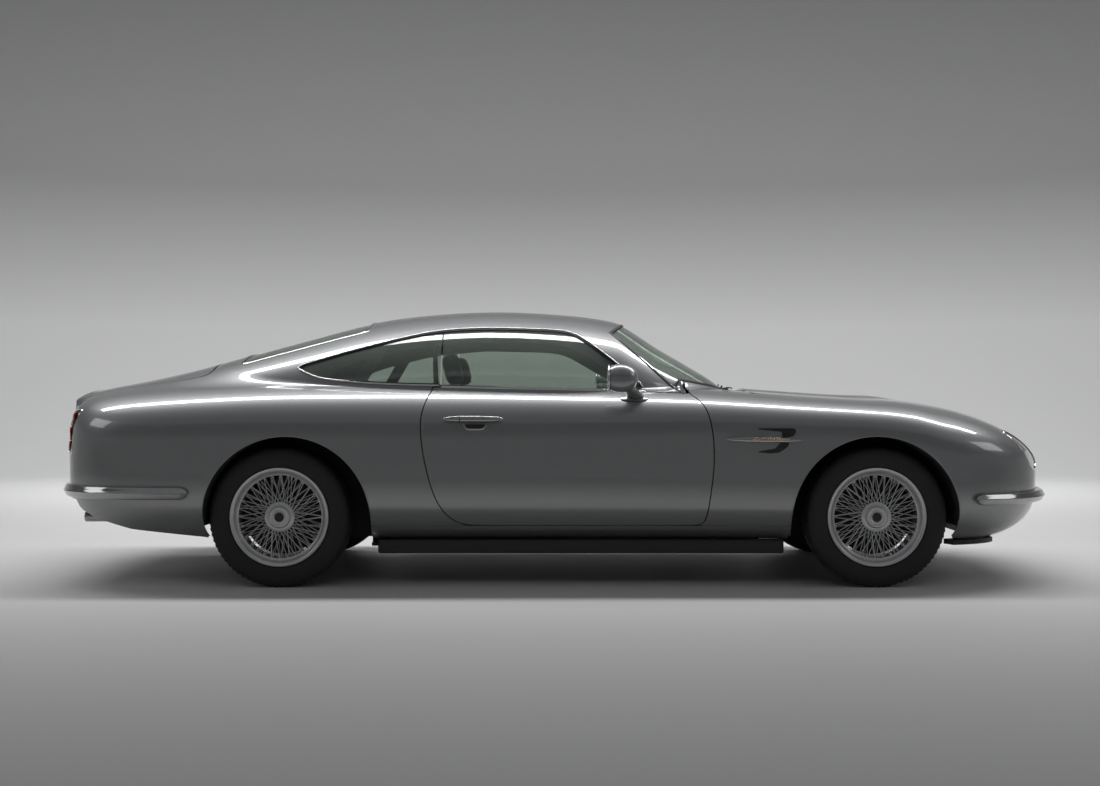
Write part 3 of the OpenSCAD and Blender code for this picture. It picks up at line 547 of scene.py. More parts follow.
# %% The panel cutter
def cut_sheet(zone, s_range, v_range, cells, point=body_point):
    """Grid points, kept faces and parameters of the part of the surface inside a zone."""
    rows, columns = cells
    s = np.linspace(*s_range, rows)[:, None] + np.zeros((1, columns))
    v = np.linspace(*v_range, columns)[None, :] + np.zeros((rows, 1))
    ds, dv = (s_range[1] - s_range[0]) / (rows - 1), (v_range[1] - v_range[0]) / (columns - 1)
    v_low, v_high = min(v_range), max(v_range)
    for _ in range(3):
        f = zone(point(s, v))
        near = np.abs(f) < 0.05
        gs = np.zeros_like(f)
        gv = np.zeros_like(f)
        gs[near] = (zone(point(s[near] + 0.2 * ds, v[near])) - f[near]) / 0.2
        shifted = np.where(v[near] + 0.2 * dv > v_high, -0.2, 0.2)
        gv[near] = (zone(point(s[near], v[near] + shifted * dv)) - f[near]) / shifted
        size = gs**2 + gv**2
        step_s, step_v = -f * gs / np.maximum(size, 1e-12), -f * gv / np.maximum(size, 1e-12)
        move = near & (size > 1e-12) & (np.maximum(np.abs(step_s), np.abs(step_v)) < 0.52)
        s = np.where(move, s + step_s * ds, s)
        v = np.clip(np.where(move, v + step_v * dv, v), v_low, v_high)
    kept = zone(point(s, v)) < 0.0004
    quads = grid_faces(rows, columns)[:, ::-1]
    count = kept.reshape(-1)[quads].sum(1)
    full = quads[count == 4]
    part = quads[count == 3]
    order = np.argmin(kept.reshape(-1)[part], axis=1) if len(part) else np.zeros(0, int)
    triangles = np.stack([part[np.arange(len(part)), (order + k) % 4] for k in (1, 2, 3)],
                         1) if len(part) else part[:, :3]
    return s.reshape(-1), v.reshape(-1), full, triangles


def sheet_shape(points, normals, full, triangles, wall, depth=0.0):
    """Outer face, inner face moved in by the wall, and a rim; returns points, faces and loop normals."""
    used = np.unique(np.concatenate([full.reshape(-1), triangles.reshape(-1)]))
    renumber = np.full(len(points), -1)
    renumber[used] = np.arange(len(used))
    full, triangles = renumber[full], renumber[triangles]
    points, normals = points[used], normals[used]
    n = len(points)
    outer, inner = points - normals * depth, points - normals * (depth + wall)
    edges = np.concatenate([np.stack([f[:, i], f[:, (i + 1) % f.shape[1]]],
                                     1) for f in (full, triangles) if len(f)
                            for i in range(f.shape[1])])
    key = np.sort(edges, axis=1) @ np.array([n, 1])
    _, first, count = np.unique(key, return_index=True, return_counts=True)
    rim_edges = edges[first[count == 1]]
    rim = np.stack([rim_edges[:, 1], rim_edges[:, 0], rim_edges[:, 0] + n, rim_edges[:, 1] + n], 1)
    faces = [full, full[:, ::-1] + n, rim, triangles, triangles[:, ::-1] + n]
    across = np.cross(outer[rim_edges[:, 0]] - outer[rim_edges[:, 1]], normals[rim_edges[:, 1]])
    across /= np.maximum(np.linalg.norm(across, axis=1, keepdims=True), 1e-12)
    loops = [normals[full].reshape(-1, 3), -normals[full[:, ::-1]].reshape(-1, 3),
             np.repeat(-across, 4, axis=0),
             normals[triangles].reshape(-1, 3), -normals[triangles[:, ::-1]].reshape(-1, 3)]
    return np.concatenate([outer, inner]), faces, np.concatenate(loops)


def mirror_sheet(shape):
    """The same sheet on the other side: y and the normals' y change sign, and faces turn round."""
    points, faces, loops = shape
    flip = np.array([1.0, -1.0, 1.0])
    sizes = [(len(f), f.shape[1] if len(f) else 3) for f in faces]
    turned_loops, start = [], 0
    for rows, columns in sizes:
        block = loops[start:start + rows * columns].reshape(rows, columns, 3)
        turned_loops.append((block[:, ::-1] * flip).reshape(-1, 3))
        start += rows * columns
    return points * flip, [f[:, ::-1] for f in faces], np.concatenate(turned_loops)


def weld_halves(shape):
    """A right half and its mirror image, joined where their points meet on the centre line."""
    other = mirror_sheet(shape)
    n = len(shape[0])
    middle = np.abs(shape[0][:, 1]) < 2e-5
    index = np.arange(n) + n
    index[middle] = np.arange(n)[middle]
    faces, loops, start = [], [], 0
    for f in shape[1]:
        w = f.shape[1] if len(f) else 3
        block = shape[2][start:start + len(f) * w].reshape(len(f), w, 3)
        start += len(f) * w
        good = ~middle[f].all(axis=1) if len(f) else np.zeros(0, bool)
        faces.append(f[good])
        loops.append(block[good].reshape(-1, 3))
    mirror_faces = [index[f[:, ::-1]] for f in faces]
    flip = np.array([1.0, -1.0, 1.0])
    mirror_loops = [(b.reshape(len(f), -1, 3)[:, ::-1] * flip).reshape(-1, 3) if len(f) else b for f,
                    b in zip(faces, loops)]
    return np.concatenate([shape[0], other[0]]), faces + mirror_faces, np.concatenate(loops + mirror_loops)


def panel(name, zone, s_range, v_range, cells, material, body="root", wall=0.003, depth=0.0, half=None,
          point=body_point):
    """Makes a panel: half is 'right', 'left', 'both' (two solids) or None for one panel across the middle."""
    s, v, full, triangles = cut_sheet(zone, s_range, v_range, cells, point)
    shape = sheet_shape(point(s, v), body_normal(s, v), full, triangles, wall, depth)
    if half == "left":
        shape = mirror_sheet(shape)
    if half == "both":
        other = mirror_sheet(shape)
        n = len(shape[0])
        shape = (np.concatenate([shape[0], other[0]]), shape[1] + [f + n for f in other[1]],
                 np.concatenate([shape[2], other[2]]))
    if half is None:
        shape = weld_halves(shape)
    points, faces, loops = shape
    good = [len(f) > 0 for f in faces]
    piece = make_piece(name, points, [f for f, g in zip(faces, good) if g], material, body, True, loops)
    print(name, len(points), "points")
    return piece

# %% [markdown]
# ## Panels of the body
# The front wings and nose are one pressing here, and so are roof, rear wings and tail, as on
# coupes whose joints are filled and sanded before painting. Doors, lids and sills stay apart
# because they open or end at a visible joint.

# %% Outlines seen from the side and from above
DOOR = cut_corners([[-586, 1010], [-586, 924], [-620, 850], [-638, 767], [-628, 644], [-600, 511],
                    [-567, 411],
                    [-527, 346], [-477, 305], [-415, 287.5], [-250, 286], [200, 286], [560, 286], [640, 289],
                    [668, 305], [684, 401], [704, 567], [700, 700], [681, 799], [653, 856], [599, 893],
                    [590, 1010]], 60)
SIDE_GLASS = cut_corners([[-1258, 1020], [-1200, 990], [-1123, 962], [-930, 944], [-742, 935], [215, 915],
                          [412, 909],
                          [345, 975], [268, 1038], [165, 1120], [73, 1184], [-9, 1199], [-242, 1208],
                          [-415, 1208],
                          [-590, 1195], [-752, 1160], [-1010, 1093]], 70)
SCREEN = [[572, 900], [246, 1188], [322, 1240], [420, 1400], [1100, 1400], [1100, 840], [606, 840]]
UNDERCUT = [[-1640, -100], [-1640, 223], [-1985, 266], [-2155, 318], [-2235, 358], [-2262, 400], [-2500, 400],
            [-2500, -100]]
BONNET = cut_corners([[925, -640], [925, 640], [2000, 520], [2160, 300], [2185, 120], [2185, -120],
                      [2160, -300],
                      [2000, -520], [925, -640]][:-1], 60)
BOOT = cut_corners([[-1690, -540], [-1690, 540], [-2292, 480], [-2292, -480]], 80)
REAR_GLASS = cut_corners([[-930, -470], [-930, 470], [-1545, 500], [-1545, -500]], 60)
BELT = np.array([[-1400, 2000], [-1399, 990], [-1266, 990], [-1123, 950], [-742, 926], [215, 906], [420, 899],
                 [605.5, 893], [606, 2000], [2500, 2000]])

door_zone, glass_zone, undercut = side(DOOR), side(SIDE_GLASS), side(UNDERCUT)
bonnet_zone, boot_zone = plan(BONNET), plan(BOOT)
rear_glass_zone = both(plan(REAR_GLASS), beyond(2, 0.9))


def screen_zone(p):
    """Windscreen: in front of the pillars' line from the side, and inside an ellipse from above."""
    ellipse = (np.hypot(p[..., 0] / 0.870, p[..., 1] / 0.740) - 1) * 0.8
    return np.maximum(distance(SCREEN, p[..., 0], p[..., 2]), ellipse)


def below_belt(p):
    """Below the line where the doors end and the windows begin."""
    return p[..., 2] - np.interp(p[..., 0] * 1000, BELT[:, 0], BELT[:, 1]) / 1000


def above_belt(p):
    """Above the same line."""
    return -below_belt(p)


def arch(x, radius=0.384):
    """A wheel opening: a circle round the wheel, straight down below its middle."""
    def inside(p):
        up = np.maximum(p[..., 2] - 0.313, 0)
        return np.hypot(p[..., 0] - x, up) - radius
    return inside


def end_hole(y, z, width, height, corner, x):
    """A rounded opening seen from the front or rear: half width, half height and corner radius in metres."""
    def inside(p):
        dy = np.abs(np.abs(p[..., 1]) - y) - (width - corner)
        dz = np.abs(p[..., 2] - z) - (height - corner)
        shape = np.hypot(np.maximum(dy, 0), np.maximum(dz, 0)) + np.minimum(np.maximum(dy, dz), 0) - corner
        return np.maximum(shape, (x - p[..., 0]) if x > 0 else (p[..., 0] - x))
    return inside


front_arch, rear_arch = arch(1.448), arch(-1.252)
grille_hole = end_hole(0, 0.555, 0.390, 0.092, 0.075, 2.02)
lamp_hole = end_hole(0.625, 0.625, 0.092, 0.092, 0.0919, 1.9)
tail_hole = end_hole(0.690, 0.715, 0.046, 0.105, 0.030, -2.1)
sill_box = both(beyond(0, -1.292), before(0, 1.460), before(2, 0.284))
cowl_box = both(beyond(0, 0.0), before(0, 0.985), lambda p: np.abs(p[..., 1]) - 0.6465)
print("outlines:", len(DOOR), "points round the door,", len(SIDE_GLASS), "round the side windows")


def lid_gap(zone):
    """A lid's outline with 5 mm of air, and 9 mm more where its hinged edge dips as it opens."""
    moved = grow(lambda p: zone(p - [0.009, 0, 0]), 0.005)
    return either(grow(zone, 0.005), moved)


door_gap = both(grow(door_zone, 0.005), grow(below_belt, 0.004))


def seen_from(x):
    """The s of a place x in millimetres along the car."""
    return math.degrees(math.asin((x - (NOSE_TIP + TAIL_TIP) / 2) * 2 / (NOSE_TIP - TAIL_TIP)))


# %% Wings, nose, roof and tail
front_zone = without(both(beyond(0, 0.540), below_belt, beyond(2, 0.206)), door_gap, lid_gap(bonnet_zone),
                     cowl_box, front_arch, sill_box, grille_hole, lamp_hole,
                     both(before(2, 0.216), before(0, 2.02)))
front_body = panel("front_wings_and_nose", front_zone, (seen_from(535), 89.5), (0.0, 1.0), (190, 160), PAINT,
                   half=None)
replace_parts(front_body, "front_wings", "nose_panel")

rear_zone = without(either(both(before(0, -0.3), below_belt), both(above_belt, before(0, 0.605))),
                    door_gap, glass_zone, screen_zone, rear_glass_zone, lid_gap(boot_zone), rear_arch,
                    sill_box, undercut, tail_hole, before(2, 0.216),
                    both(beyond(0, -0.9), before(2, 0.9), lambda p: np.abs(p[..., 1]) - 0.6))
rear_body = panel("roof_rear_wings_and_tail", rear_zone, (-89.5, seen_from(610)), (0.0, 1.0), (230, 160),
                  PAINT, half=None)
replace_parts(rear_body, "rear_body", "roof", "tail_panel")

# %% [markdown]
# ### Sills, doors and lids
# A door is an outer skin folded round an inner box. The skin reaches forward past the hinge, and
# the box stops behind it so that the door can swing. The lids are thin pressings with a folded edge.

# %% Sills, doors and lids
sill_zone = without(both(beyond(0, -1.292), before(0, 1.460), beyond(2, 0.2165), before(2, 0.2825)),
                    front_arch, rear_arch)
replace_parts(panel("sill_skins", sill_zone, (seen_from(-1300), seen_from(1465)), (0.06, 0.33), (150, 30),
                  PAINT,
                  wall=0.03, half="both"), "sills")
door_skin = both(door_zone, below_belt, beyond(2, 0.2855))
door_box = both(grow(door_zone, -0.012), grow(below_belt, -0.004), beyond(2, 0.297), before(0, 0.59))
door_card = both(grow(door_zone, -0.03), grow(below_belt, -0.012), beyond(2, 0.320), before(0, 0.565))
for hand in ("right", "left"):
    body = "door_" + hand
    span, around = (seen_from(-650), seen_from(715)), (0.10, 0.62)
    skin = panel("door_skin_" + hand, door_skin, span, around, (150, 100), PAINT, body, 0.005, 0, hand)
    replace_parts(skin, body)
    panel("door_box_" + hand, door_box, span, around, (90, 60), PAINT, body, 0.055, 0.005, hand)
    panel("door_card_" + hand, door_card, span, around, (90, 60), LEATHER, body, 0.008, 0.0605, hand)

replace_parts(panel("bonnet_skin", both(bonnet_zone, beyond(2, 0.64)), (seen_from(915), seen_from(2200)),
                  (0.5, 1.0),
                  (130, 90), PAINT, "bonnet", 0.008), "bonnet")
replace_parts(panel("boot_lid_skin", both(boot_zone, beyond(2, 0.8)), (seen_from(-2310), seen_from(-1680)),
                  (0.5, 1.0),
                  (90, 90), PAINT, "boot_lid", 0.008), "boot_lid")
cowl_zone = without(both(beyond(0, 0.606), before(0, 0.915), beyond(2, 0.84),
                         lambda p: np.abs(p[..., 1]) - 0.646), screen_zone)
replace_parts(panel("scuttle", cowl_zone, (seen_from(600), seen_from(925)), (0.5, 1.0), (40, 90), PAINT),
            "cowl")

# %% [markdown]
# ### Glass
# Car glass is bent over a mould until it follows the body, and tinted slightly green by the iron
# in it. The panes use the body's own surface, set in by a few millimetres like real panes.

# %% Panes
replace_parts(panel("windscreen_pane", grow(screen_zone, -0.001), (seen_from(230), seen_from(880)), (0.5, 1.0),
                  (70, 80),
                  GLASS, depth=0.004, wall=0.005), "windscreen")
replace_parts(panel("rear_pane", grow(rear_glass_zone, -0.001), (seen_from(-1560), seen_from(-915)), (0.5, 1.0),
                  (70, 60),
                  GLASS, depth=0.004, wall=0.005), "rear_window")
quarter_zone = both(grow(glass_zone, -0.001), before(0, -0.559))
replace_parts(panel("quarter_panes", quarter_zone, (seen_from(-1270), seen_from(-550)), (0.45, 0.9), (70, 60),
                  GLASS,
                  depth=0.005, wall=0.004, half="both"), "quarter_windows")
pane_zone = both(either(grow(glass_zone, -0.0055), side([[-556, 868], [-556, 950], [400, 925], [400, 868]])),
                 beyond(0, -0.553))
for hand in ("right", "left"):
    pane = panel("door_pane_" + hand, both(pane_zone, grow(above_belt, -0.001)),
                 (seen_from(-560), seen_from(420)), (0.45, 0.9), (80, 60),
                 GLASS, "door_" + hand, depth=0.005, wall=0.004, half=hand)
    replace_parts(pane, "door_glass_" + hand)

# %% [markdown]
# ## Points on the skin
# Trims and handles must lie on the skin, so two small solvers find the skin at a place seen from
# the side or from above. Both halve an interval of the angle until the height or width fits.

# %% Finding the skin
def on_side(x, z):
    """Skin at x and height z (millimetres, right side): halves the angle until widest + r sin a = z."""
    x, z = np.broadcast_arrays(np.asarray(x, float), np.asarray(z, float))
    low, high = np.full(x.shape, -np.pi / 2), np.full(x.shape, np.pi / 2)
    for _ in range(26):
        a = (low + high) / 2
        over = place(x, a)[..., 2] * 1000 > z
        low, high = np.where(over, low, a), np.where(over, a, high)
    return with_normal(x, (low + high) / 2)


def on_top(x, y):
    """Skin above x and y (millimetres, either side): halves the angle until r cos a = |y|."""
    x, y = np.broadcast_arrays(np.asarray(x, float), np.asarray(y, float))
    low, high = np.zeros(x.shape), np.full(x.shape, np.pi / 2)
    for _ in range(26):
        a = (low + high) / 2
        wide = -place(x, a)[..., 1] * 1000 > np.abs(y)
        low, high = np.where(wide, a, low), np.where(wide, high, a)
    p, n = with_normal(x, (low + high) / 2)
    flip = np.where(y > 0, -1.0, 1.0)[..., None] * np.array([0, 1, 0]) + np.array([1, 0, 1])
    return p * flip, n * flip


def with_normal(x, a):
    """The skin's point and outward normal at x and angle a."""
    dx, da = 2.0, 0.004
    along = place(x + dx, a) - place(x - dx, a)
    around = place(x, np.minimum(a + da, np.pi / 2)) - place(x, np.maximum(a - da, -np.pi / 2))
    n = np.cross(along, around)
    return place(x, a), n / np.linalg.norm(n, axis=-1, keepdims=True)


def oval(width, height, steps=14, power=2.0):
    """A closed profile: |x / (width/2)|^p + |y / (height/2)|^p = 1, sampled evenly in angle."""
    a = np.linspace(0, 2 * np.pi, steps, endpoint=False)
    c, s = np.cos(a), np.sin(a)
    r = (np.abs(c) ** power + np.abs(s) ** power) ** (-1 / power)
    return np.stack([r * c * width / 2, r * s * height / 2], 1)


def along_skin(found, profile, lift=0.0, closed=False):
    """Sweeps a profile along skin points, its second axis on the skin's normal, lifted by lift."""
    points, normals = found
    return swept(points + normals * lift, profile, normals, closed)


def both_hands(shape):
    """A shape and its mirror image on the car's other side in one."""
    points, faces = shape
    other = [f[:, ::-1] + len(points) for f in faces]
    return np.concatenate([points, mirrored(points)]), list(faces) + other


def several(shapes):
    """Joins shapes of (points, list of face arrays) into one."""
    points, faces, start = [], [], 0
    for p, groups in shapes:
        points.append(p)
        faces += [np.asarray(g) + start for g in groups]
        start += len(p)
    return np.concatenate(points), faces


print("skin at the handle:", on_side(-400.0, 771.0)[0].round(3).tolist())

# %% [markdown]
# ## Wire wheels
# A wire wheel hangs its hub in thin steel spokes. The spokes leave the hub nearly at a tangent
# and cross each other, so that they carry both the load and the drive. Rim and hub are turned
# profiles, and each spoke is a six-sided tube between two points.

# %% Wire wheels
def tubes(starts, stops, radius, sides=6):
    """Many straight tubes at once: rings of `sides` points round both ends of each line."""
    line = stops - starts
    line /= np.linalg.norm(line, axis=1, keepdims=True)
    hint = np.where(np.abs(line[:, 2:]) < 0.9, np.array([[0, 0, 1.0]]), np.array([[1.0, 0, 0]]))
    n, b = normal_to(line, hint)
    a = np.linspace(0, 2 * np.pi, sides, endpoint=False)
    ring = (np.cos(a)[None, :, None] * n[:, None] + np.sin(a)[None, :, None] * b[:, None]) * radius
    points = np.stack([starts[:, None] + ring, stops[:, None] + ring], 1)
    k = np.arange(sides)
    quad = np.stack([k, np.roll(k, -1), np.roll(k, -1) + sides, k + sides], 1)
    faces = (quad[None] + (np.arange(len(starts)) * 2 * sides)[:, None, None]).reshape(-1, 4)
    caps = np.stack([np.stack([k[:-2] * 0, k[2:], k[1:-1]], 1), np.stack([k[:-2] * 0, k[1:-1], k[2:]],
                                                                         1) + sides]).reshape(-1, 3)
    ends_ = (caps[None] + (np.arange(len(starts)) * 2 * sides)[:, None, None]).reshape(-1, 3)
    return points.reshape(-1, 3), [faces, ends_]


def ring_points(radius, angle, depth):
    """Points on a circle of a radius (millimetres) at angles (degrees) and a depth along the axle."""
    a = np.radians(angle)
    return np.stack([radius * np.cos(a), radius * np.sin(a), np.broadcast_to(depth, a.shape)], 1) / 1000


def spokes():
    """Two crossing layers: one from the hub's front flange, one from its rear flange to the rim's middle."""
    shapes = []
    for count, hub_r, hub_z, rim_r, rim_z, lean, radius in ((32, 62, 76, 197, 60, 22, 0.0021),
                                                            (32, 62, 72, 197, 50, -22, 0.0021),
                                                            (24, 50, 10, 197, 36, 30, 0.0021),
                                                            (24, 50, 6, 197, 24, -30, 0.0021)):
        a = np.arange(count) * 360 / count
        start, stop = ring_points(hub_r, a, hub_z), ring_points(rim_r, a + lean, rim_z)
        shapes.append(tubes(start, stop, radius))
        shapes.append(tubes(stop + (start - stop) * 0.11, stop, radius * 1.75))
    return several(shapes)


RIM = np.array([[192, 64], [203, 70], [208, 84], [213, 90], [221, 95], [226, 96], [228, 94], [229, 90],
                [228, 84], [222, 82], [216, 78],
                [210, 64], [203, 30], [203, -30], [209, -66], [216, -80], [229, -84], [229, -90], [224, -90],
                [210, -82],
                [198, -60], [195, -10], [194, 30], [192, 58]]) / 1000
HUB = np.array([[0, -4], [45, -4], [45, 14], [54, 16], [54, 22], [44, 26], [40, 60], [60, 68], [68, 72],
                [69, 77], [62, 82],
                [53, 83], [50, 88], [48, 95], [42, 98], [34, 96], [30, 92], [24, 94], [21, 91], [20, 86],
                [0, 85]]) / 1000
SHIELD = np.array([[44, -24], [176, -24], [176, -16], [179, -16], [179, -27], [44, -27]]) / 1000
EYE = np.array([[0, 85.2], [19.8, 85.2], [19.8, 88], [0, 88]]) / 1000


def tyre_shape():
    """A turned tyre: its shoulder blocks are a square wave in the angle, its grooves are in the profile."""
    profile = np.array([[229.5, 84], [233, 92], [246, 98], [268, 101.5], [290, 102], [306, 98], [316, 91],
                        [321, 85], [324.5, 77],
                        [324.8, 60], [324.8, 50], [318, 49], [318, 42], [325, 41], [325, 12], [318.5, 11],
                        [318.5, 4],
                        [325, 3]])
    half = profile * [1, -1]
    full = np.concatenate([profile, half[::-1], [[231, -70], [237, 0], [231, 70]]])
    steps = 300
    a = np.linspace(0, 2 * np.pi, steps, endpoint=False)[:, None]
    block = np.where((np.arange(steps) % 4 < 2), 1.0, 0.0)[:, None]
    shoulder = ((full[:, 0] > 310) & (full[:, 0] < 324.9) & (np.abs(full[:, 1]) > 59))[None, :]
    r = full[:, 0] - 3.0 * block * shoulder
    points = np.stack([r * np.cos(a), r * np.sin(a), np.broadcast_to(full[:, 1], r.shape)], -1) / 1000
    m = len(full)
    faces = grid_faces(steps, m, wrap=True)
    last, first = (steps - 1) * m + np.arange(m), np.arange(m)
    faces = np.concatenate([faces, np.stack([last, np.roll(last, -1), np.roll(first, -1), first], 1)])
    return points.reshape(-1, 3), [faces]


def at_wheel(shape, x, hand):
    """Stands a wheel's shape at its axle: its depth turns sideways, y = -0.7775 - depth on the right."""
    points, faces = shape
    placed = np.stack([points[:, 0] + x, -0.7775 - points[:, 2], points[:, 1] + 0.324], 1)
    return (placed if hand == "right" else mirrored(placed)), faces


rim, hub, eye, wires, rubber = turned(RIM, 128), turned(HUB, 64), turned(EYE, 32), spokes(), tyre_shape()
shield = turned(SHIELD, 64)
for end_name, axle in (("front", 1.460), ("rear", -1.292)):
    for hand in ("right", "left"):
        body = "wheel_%s_%s" % (end_name, hand)
        rim_piece = add_shape("rim_%s_%s" % (end_name, hand), at_wheel(several([(rim[0], [rim[1]]),
                                                                                (hub[0], [hub[1]])]), axle,
                                                                                hand), WIRE, body, 50)
        add_shape("spokes_%s_%s" % (end_name, hand), at_wheel(wires, axle, hand), WIRE, body, 60)
        add_shape("hub_eye_%s_%s" % (end_name, hand), at_wheel((eye[0], [eye[1]]), axle, hand), BLACK, body)
        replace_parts(rim_piece, body)
        carrier = "knuckle_" + hand if end_name == "front" else "root"
        add_shape("brake_shield_%s_%s" % (end_name, hand), at_wheel((shield[0], [shield[1]]), axle, hand),
                  UNDERSIDE, carrier, 40)
        tyre = add_shape("tyre_rubber_%s_%s" % (end_name, hand), at_wheel(rubber, axle, hand), TYRE, body, 40)
        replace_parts(tyre, body.replace("wheel", "tyre"))
print("spokes in a wheel:", 112)

# %% [markdown]
# ## Middle of the tail
# The body's rings shrink towards the tail's tip but never reach a point. What is left open is
# flat, and a plate fills it.

# %% Tail centre
def end_plate(s, wall=0.003):
    """A flat plate inside the ring of skin at s: a fan round the ring's middle, an inner face and a rim."""
    ring = body_point(np.full(60, s), np.linspace(0, 1, 60))
    loop = np.concatenate([ring, mirrored(ring[1:-1])[::-1]])
    n = len(loop)
    outer = np.concatenate([loop, loop.mean(0, keepdims=True)])
    inner = outer - [math.copysign(wall, s), 0, 0]
    j = np.arange(n)
    fan = np.stack([j, np.roll(j, -1), np.full(n, n)], 1)
    rim = np.stack([np.roll(j, -1), j, j + n + 1, np.roll(j, -1) + n + 1], 1)
    return np.concatenate([outer, inner]), [fan, fan[:, ::-1] + n + 1, rim]


add_shape("tail_centre", end_plate(-89.5), PAINT)

# %% [markdown]
# ## Bumpers
# Slim bright blades run round the nose and the tail. A blade is a pressed strip with a crease
# along its middle. It follows the body's outline at its own height and tapers to round ends.

# %% Bumpers
def bumper(x_end, tip, stretch, z, height, depth):
    """A creased blade along the plan outline at height z, from one side round the tip to the other."""
    middle = (NOSE_TIP + TAIL_TIP) / 2
    reach = (NOSE_TIP - TAIL_TIP) / 2
    s = np.degrees(np.arcsin((np.array([x_end, tip]) - middle) / reach))
    x = middle + reach * np.sin(np.radians(np.linspace(s[0], s[1], 70)))
    half, _ = on_side(x, np.full(70, z))
    sign = 1 if tip > 0 else -1
    arc = np.linspace(0, 1, 26)[1:, None]
    y_tip = half[-1, 1]
    front_line = half[-1, :1] + sign * 0.004 * np.sin(arc * np.pi / 2)
    across = np.concatenate([front_line, y_tip * (1 - arc), 0 * arc], 1)
    bow = np.concatenate([half, half[-1] * [0, 0, 1] + across])
    path = np.concatenate([bow, mirrored(bow[:-1])[::-1]]) * [stretch, 1.008, 1]
    length = np.concatenate([[0], np.cumsum(np.linalg.norm(np.diff(path, axis=0), axis=1))])
    fine = np.linspace(0, 1, 200) * length[-1]
    extra = np.concatenate([np.linspace(0, 0.06, 14) ** 1.5 / 0.06**0.5,
                            length[-1] - np.linspace(0, 0.06, 14) ** 1.5 / 0.06**0.5])
    fine = np.unique(np.round(np.concatenate([fine, extra]), 5))
    path = np.stack([np.interp(fine, length, path[:, k]) for k in range(3)], 1)
    for _ in range(6):
        path[1:-1] = path[:-2] * 0.25 + path[1:-1] * 0.5 + path[2:] * 0.25
    from_end = np.minimum(fine, length[-1] - fine)
    taper = np.sqrt(np.clip(1 - (1 - np.clip(from_end / (height * 0.75), 0, 1)) ** 2, 0.0009, 1))
    h, d = height / 2, depth
    section = np.array([[-d * 0.5, h * 0.7], [-d * 0.1, h * 0.98], [d * 0.15, h * 0.96], [d * 0.36, h * 0.8],
                        [d * 0.5, h * 0.5],
                        [d * 0.58, h * 0.2], [d * 0.66, h * 0.06], [d * 0.70, 0.0], [d * 0.66, -h * 0.06],
                        [d * 0.56, -h * 0.25],
                        [d * 0.44, -h * 0.55], [d * 0.28, -h * 0.82], [d * 0.05, -h * 0.97],
                        [-d * 0.2, -h * 0.98], [-d * 0.5, -h * 0.7]])
    profile = section[None] * np.stack([0.55 + 0.45 * taper, taper], 1)[:, None]
    up = np.array([0, 0, 1.0])
    return swept(path, profile * [sign, 1], up)


bumper_blades = several([bumper(1880, 2344, 1.0105, 408, 0.054, 0.034),
                         bumper(-1686, -2366, 1.0035, 439, 0.062, 0.034)])
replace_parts(add_shape("bumper_blades", bumper_blades, BRIGHT, "root", 25), "bumpers")

# %% [markdown]
# ## Bright trims and seals
# Polished strips frame the side windows and the screens. Each is an oval rod swept along the
# outline of its window, lying on the skin. The strip under the door's window opens with the door.

# %% Window trims
def strip(found, width, height, lift=0.0, closed=False):
    """A rounded strip along skin points."""
    return along_skin(found, oval(width, height, 12, 2.6), lift, closed)


def cut_open(outline, keep):
    """The longest run of outline points for which keep is true, starting where it begins."""
    n = len(outline)
    start = next(i for i in range(n) if keep[i] and not keep[i - 1])
    order = np.array([(start + i) % n for i in range(n)])
    run = order[:np.argmin(np.append(keep[order], False))]
    return outline[run]


dense = np.concatenate([np.linspace(a, b, max(int(np.hypot(*(b - a)) / 12), 1), endpoint=False)
                        for a, b in zip(SIDE_GLASS, np.roll(SIDE_GLASS, -1, 0))])
belt_part = (dense[:, 1] < np.interp(dense[:, 0], [-560, 400],
                                     [935, 925])) & (dense[:, 0] > -556) & (dense[:, 0] < 405)
frame_part = cut_open(dense, ~belt_part)
window_frame = strip(on_side(frame_part[:, 0], frame_part[:, 1]), 0.008, 0.007, 0.001)
window_seal = strip(on_side(*((frame_part - [-400, 1060]) * [0.992, 0.97] + [-400, 1060]).T), 0.012, 0.005,
                    -0.002)
add_shape("window_frame_trim", both_hands(window_frame), CHROME)
add_shape("window_frame_seal", both_hands(window_seal), SEAL)
for hand in ("right", "left"):
    x = np.linspace(-553, 405, 80)
    z = np.interp(x, [-742, 215, 412], [935, 915, 909])
    waist = strip(on_side(x, z - 6), 0.011, 0.007, 0.0)
    points, faces = waist
    shape = (points if hand == "right" else mirrored(points), faces)
    add_shape("waist_trim_" + hand, shape, CHROME, "door_" + hand)

pillar_z = np.concatenate([np.linspace(893, 1188, 40), np.linspace(1190, 1240, 22)])
pillar_x = np.interp(pillar_z, [893, 1188, 1240], [577, 246, 322])
foot = np.radians(np.linspace(3, 48.5, 60))
foot_points, foot_normals = on_top(870 * np.cos(foot), -740 * np.sin(foot))
side_points, side_normals = on_side(pillar_x[:40], pillar_z[:40])
roof_line = on_side(pillar_x[40:], pillar_z[40:])
corner_points, corner_normals = roof_line
screen_half = [np.concatenate([a, b, c]) for a, b, c in ((foot_points, side_points, corner_points),
                                                         (foot_normals, side_normals, corner_normals))]
screen_seal = along_skin(screen_half, oval(0.016, 0.006, 12, 2.6), 0.0)
add_shape("screen_seal", both_hands(screen_seal), SEAL)
bright = along_skin([side_points[3:], side_normals[3:]], oval(0.007, 0.009, 10), 0.001)
add_shape("screen_trim", both_hands(bright), CHROME)
rear_edge = np.concatenate([np.linspace(a, b, 14, endpoint=False) for a,
                            b in zip(REAR_GLASS, np.roll(REAR_GLASS, -1, 0))])
add_shape("rear_pane_trim", along_skin(on_top(rear_edge[:, 0], rear_edge[:, 1]), oval(0.012, 0.007, 12, 2.6),
                                       0.0, True), CHROME)

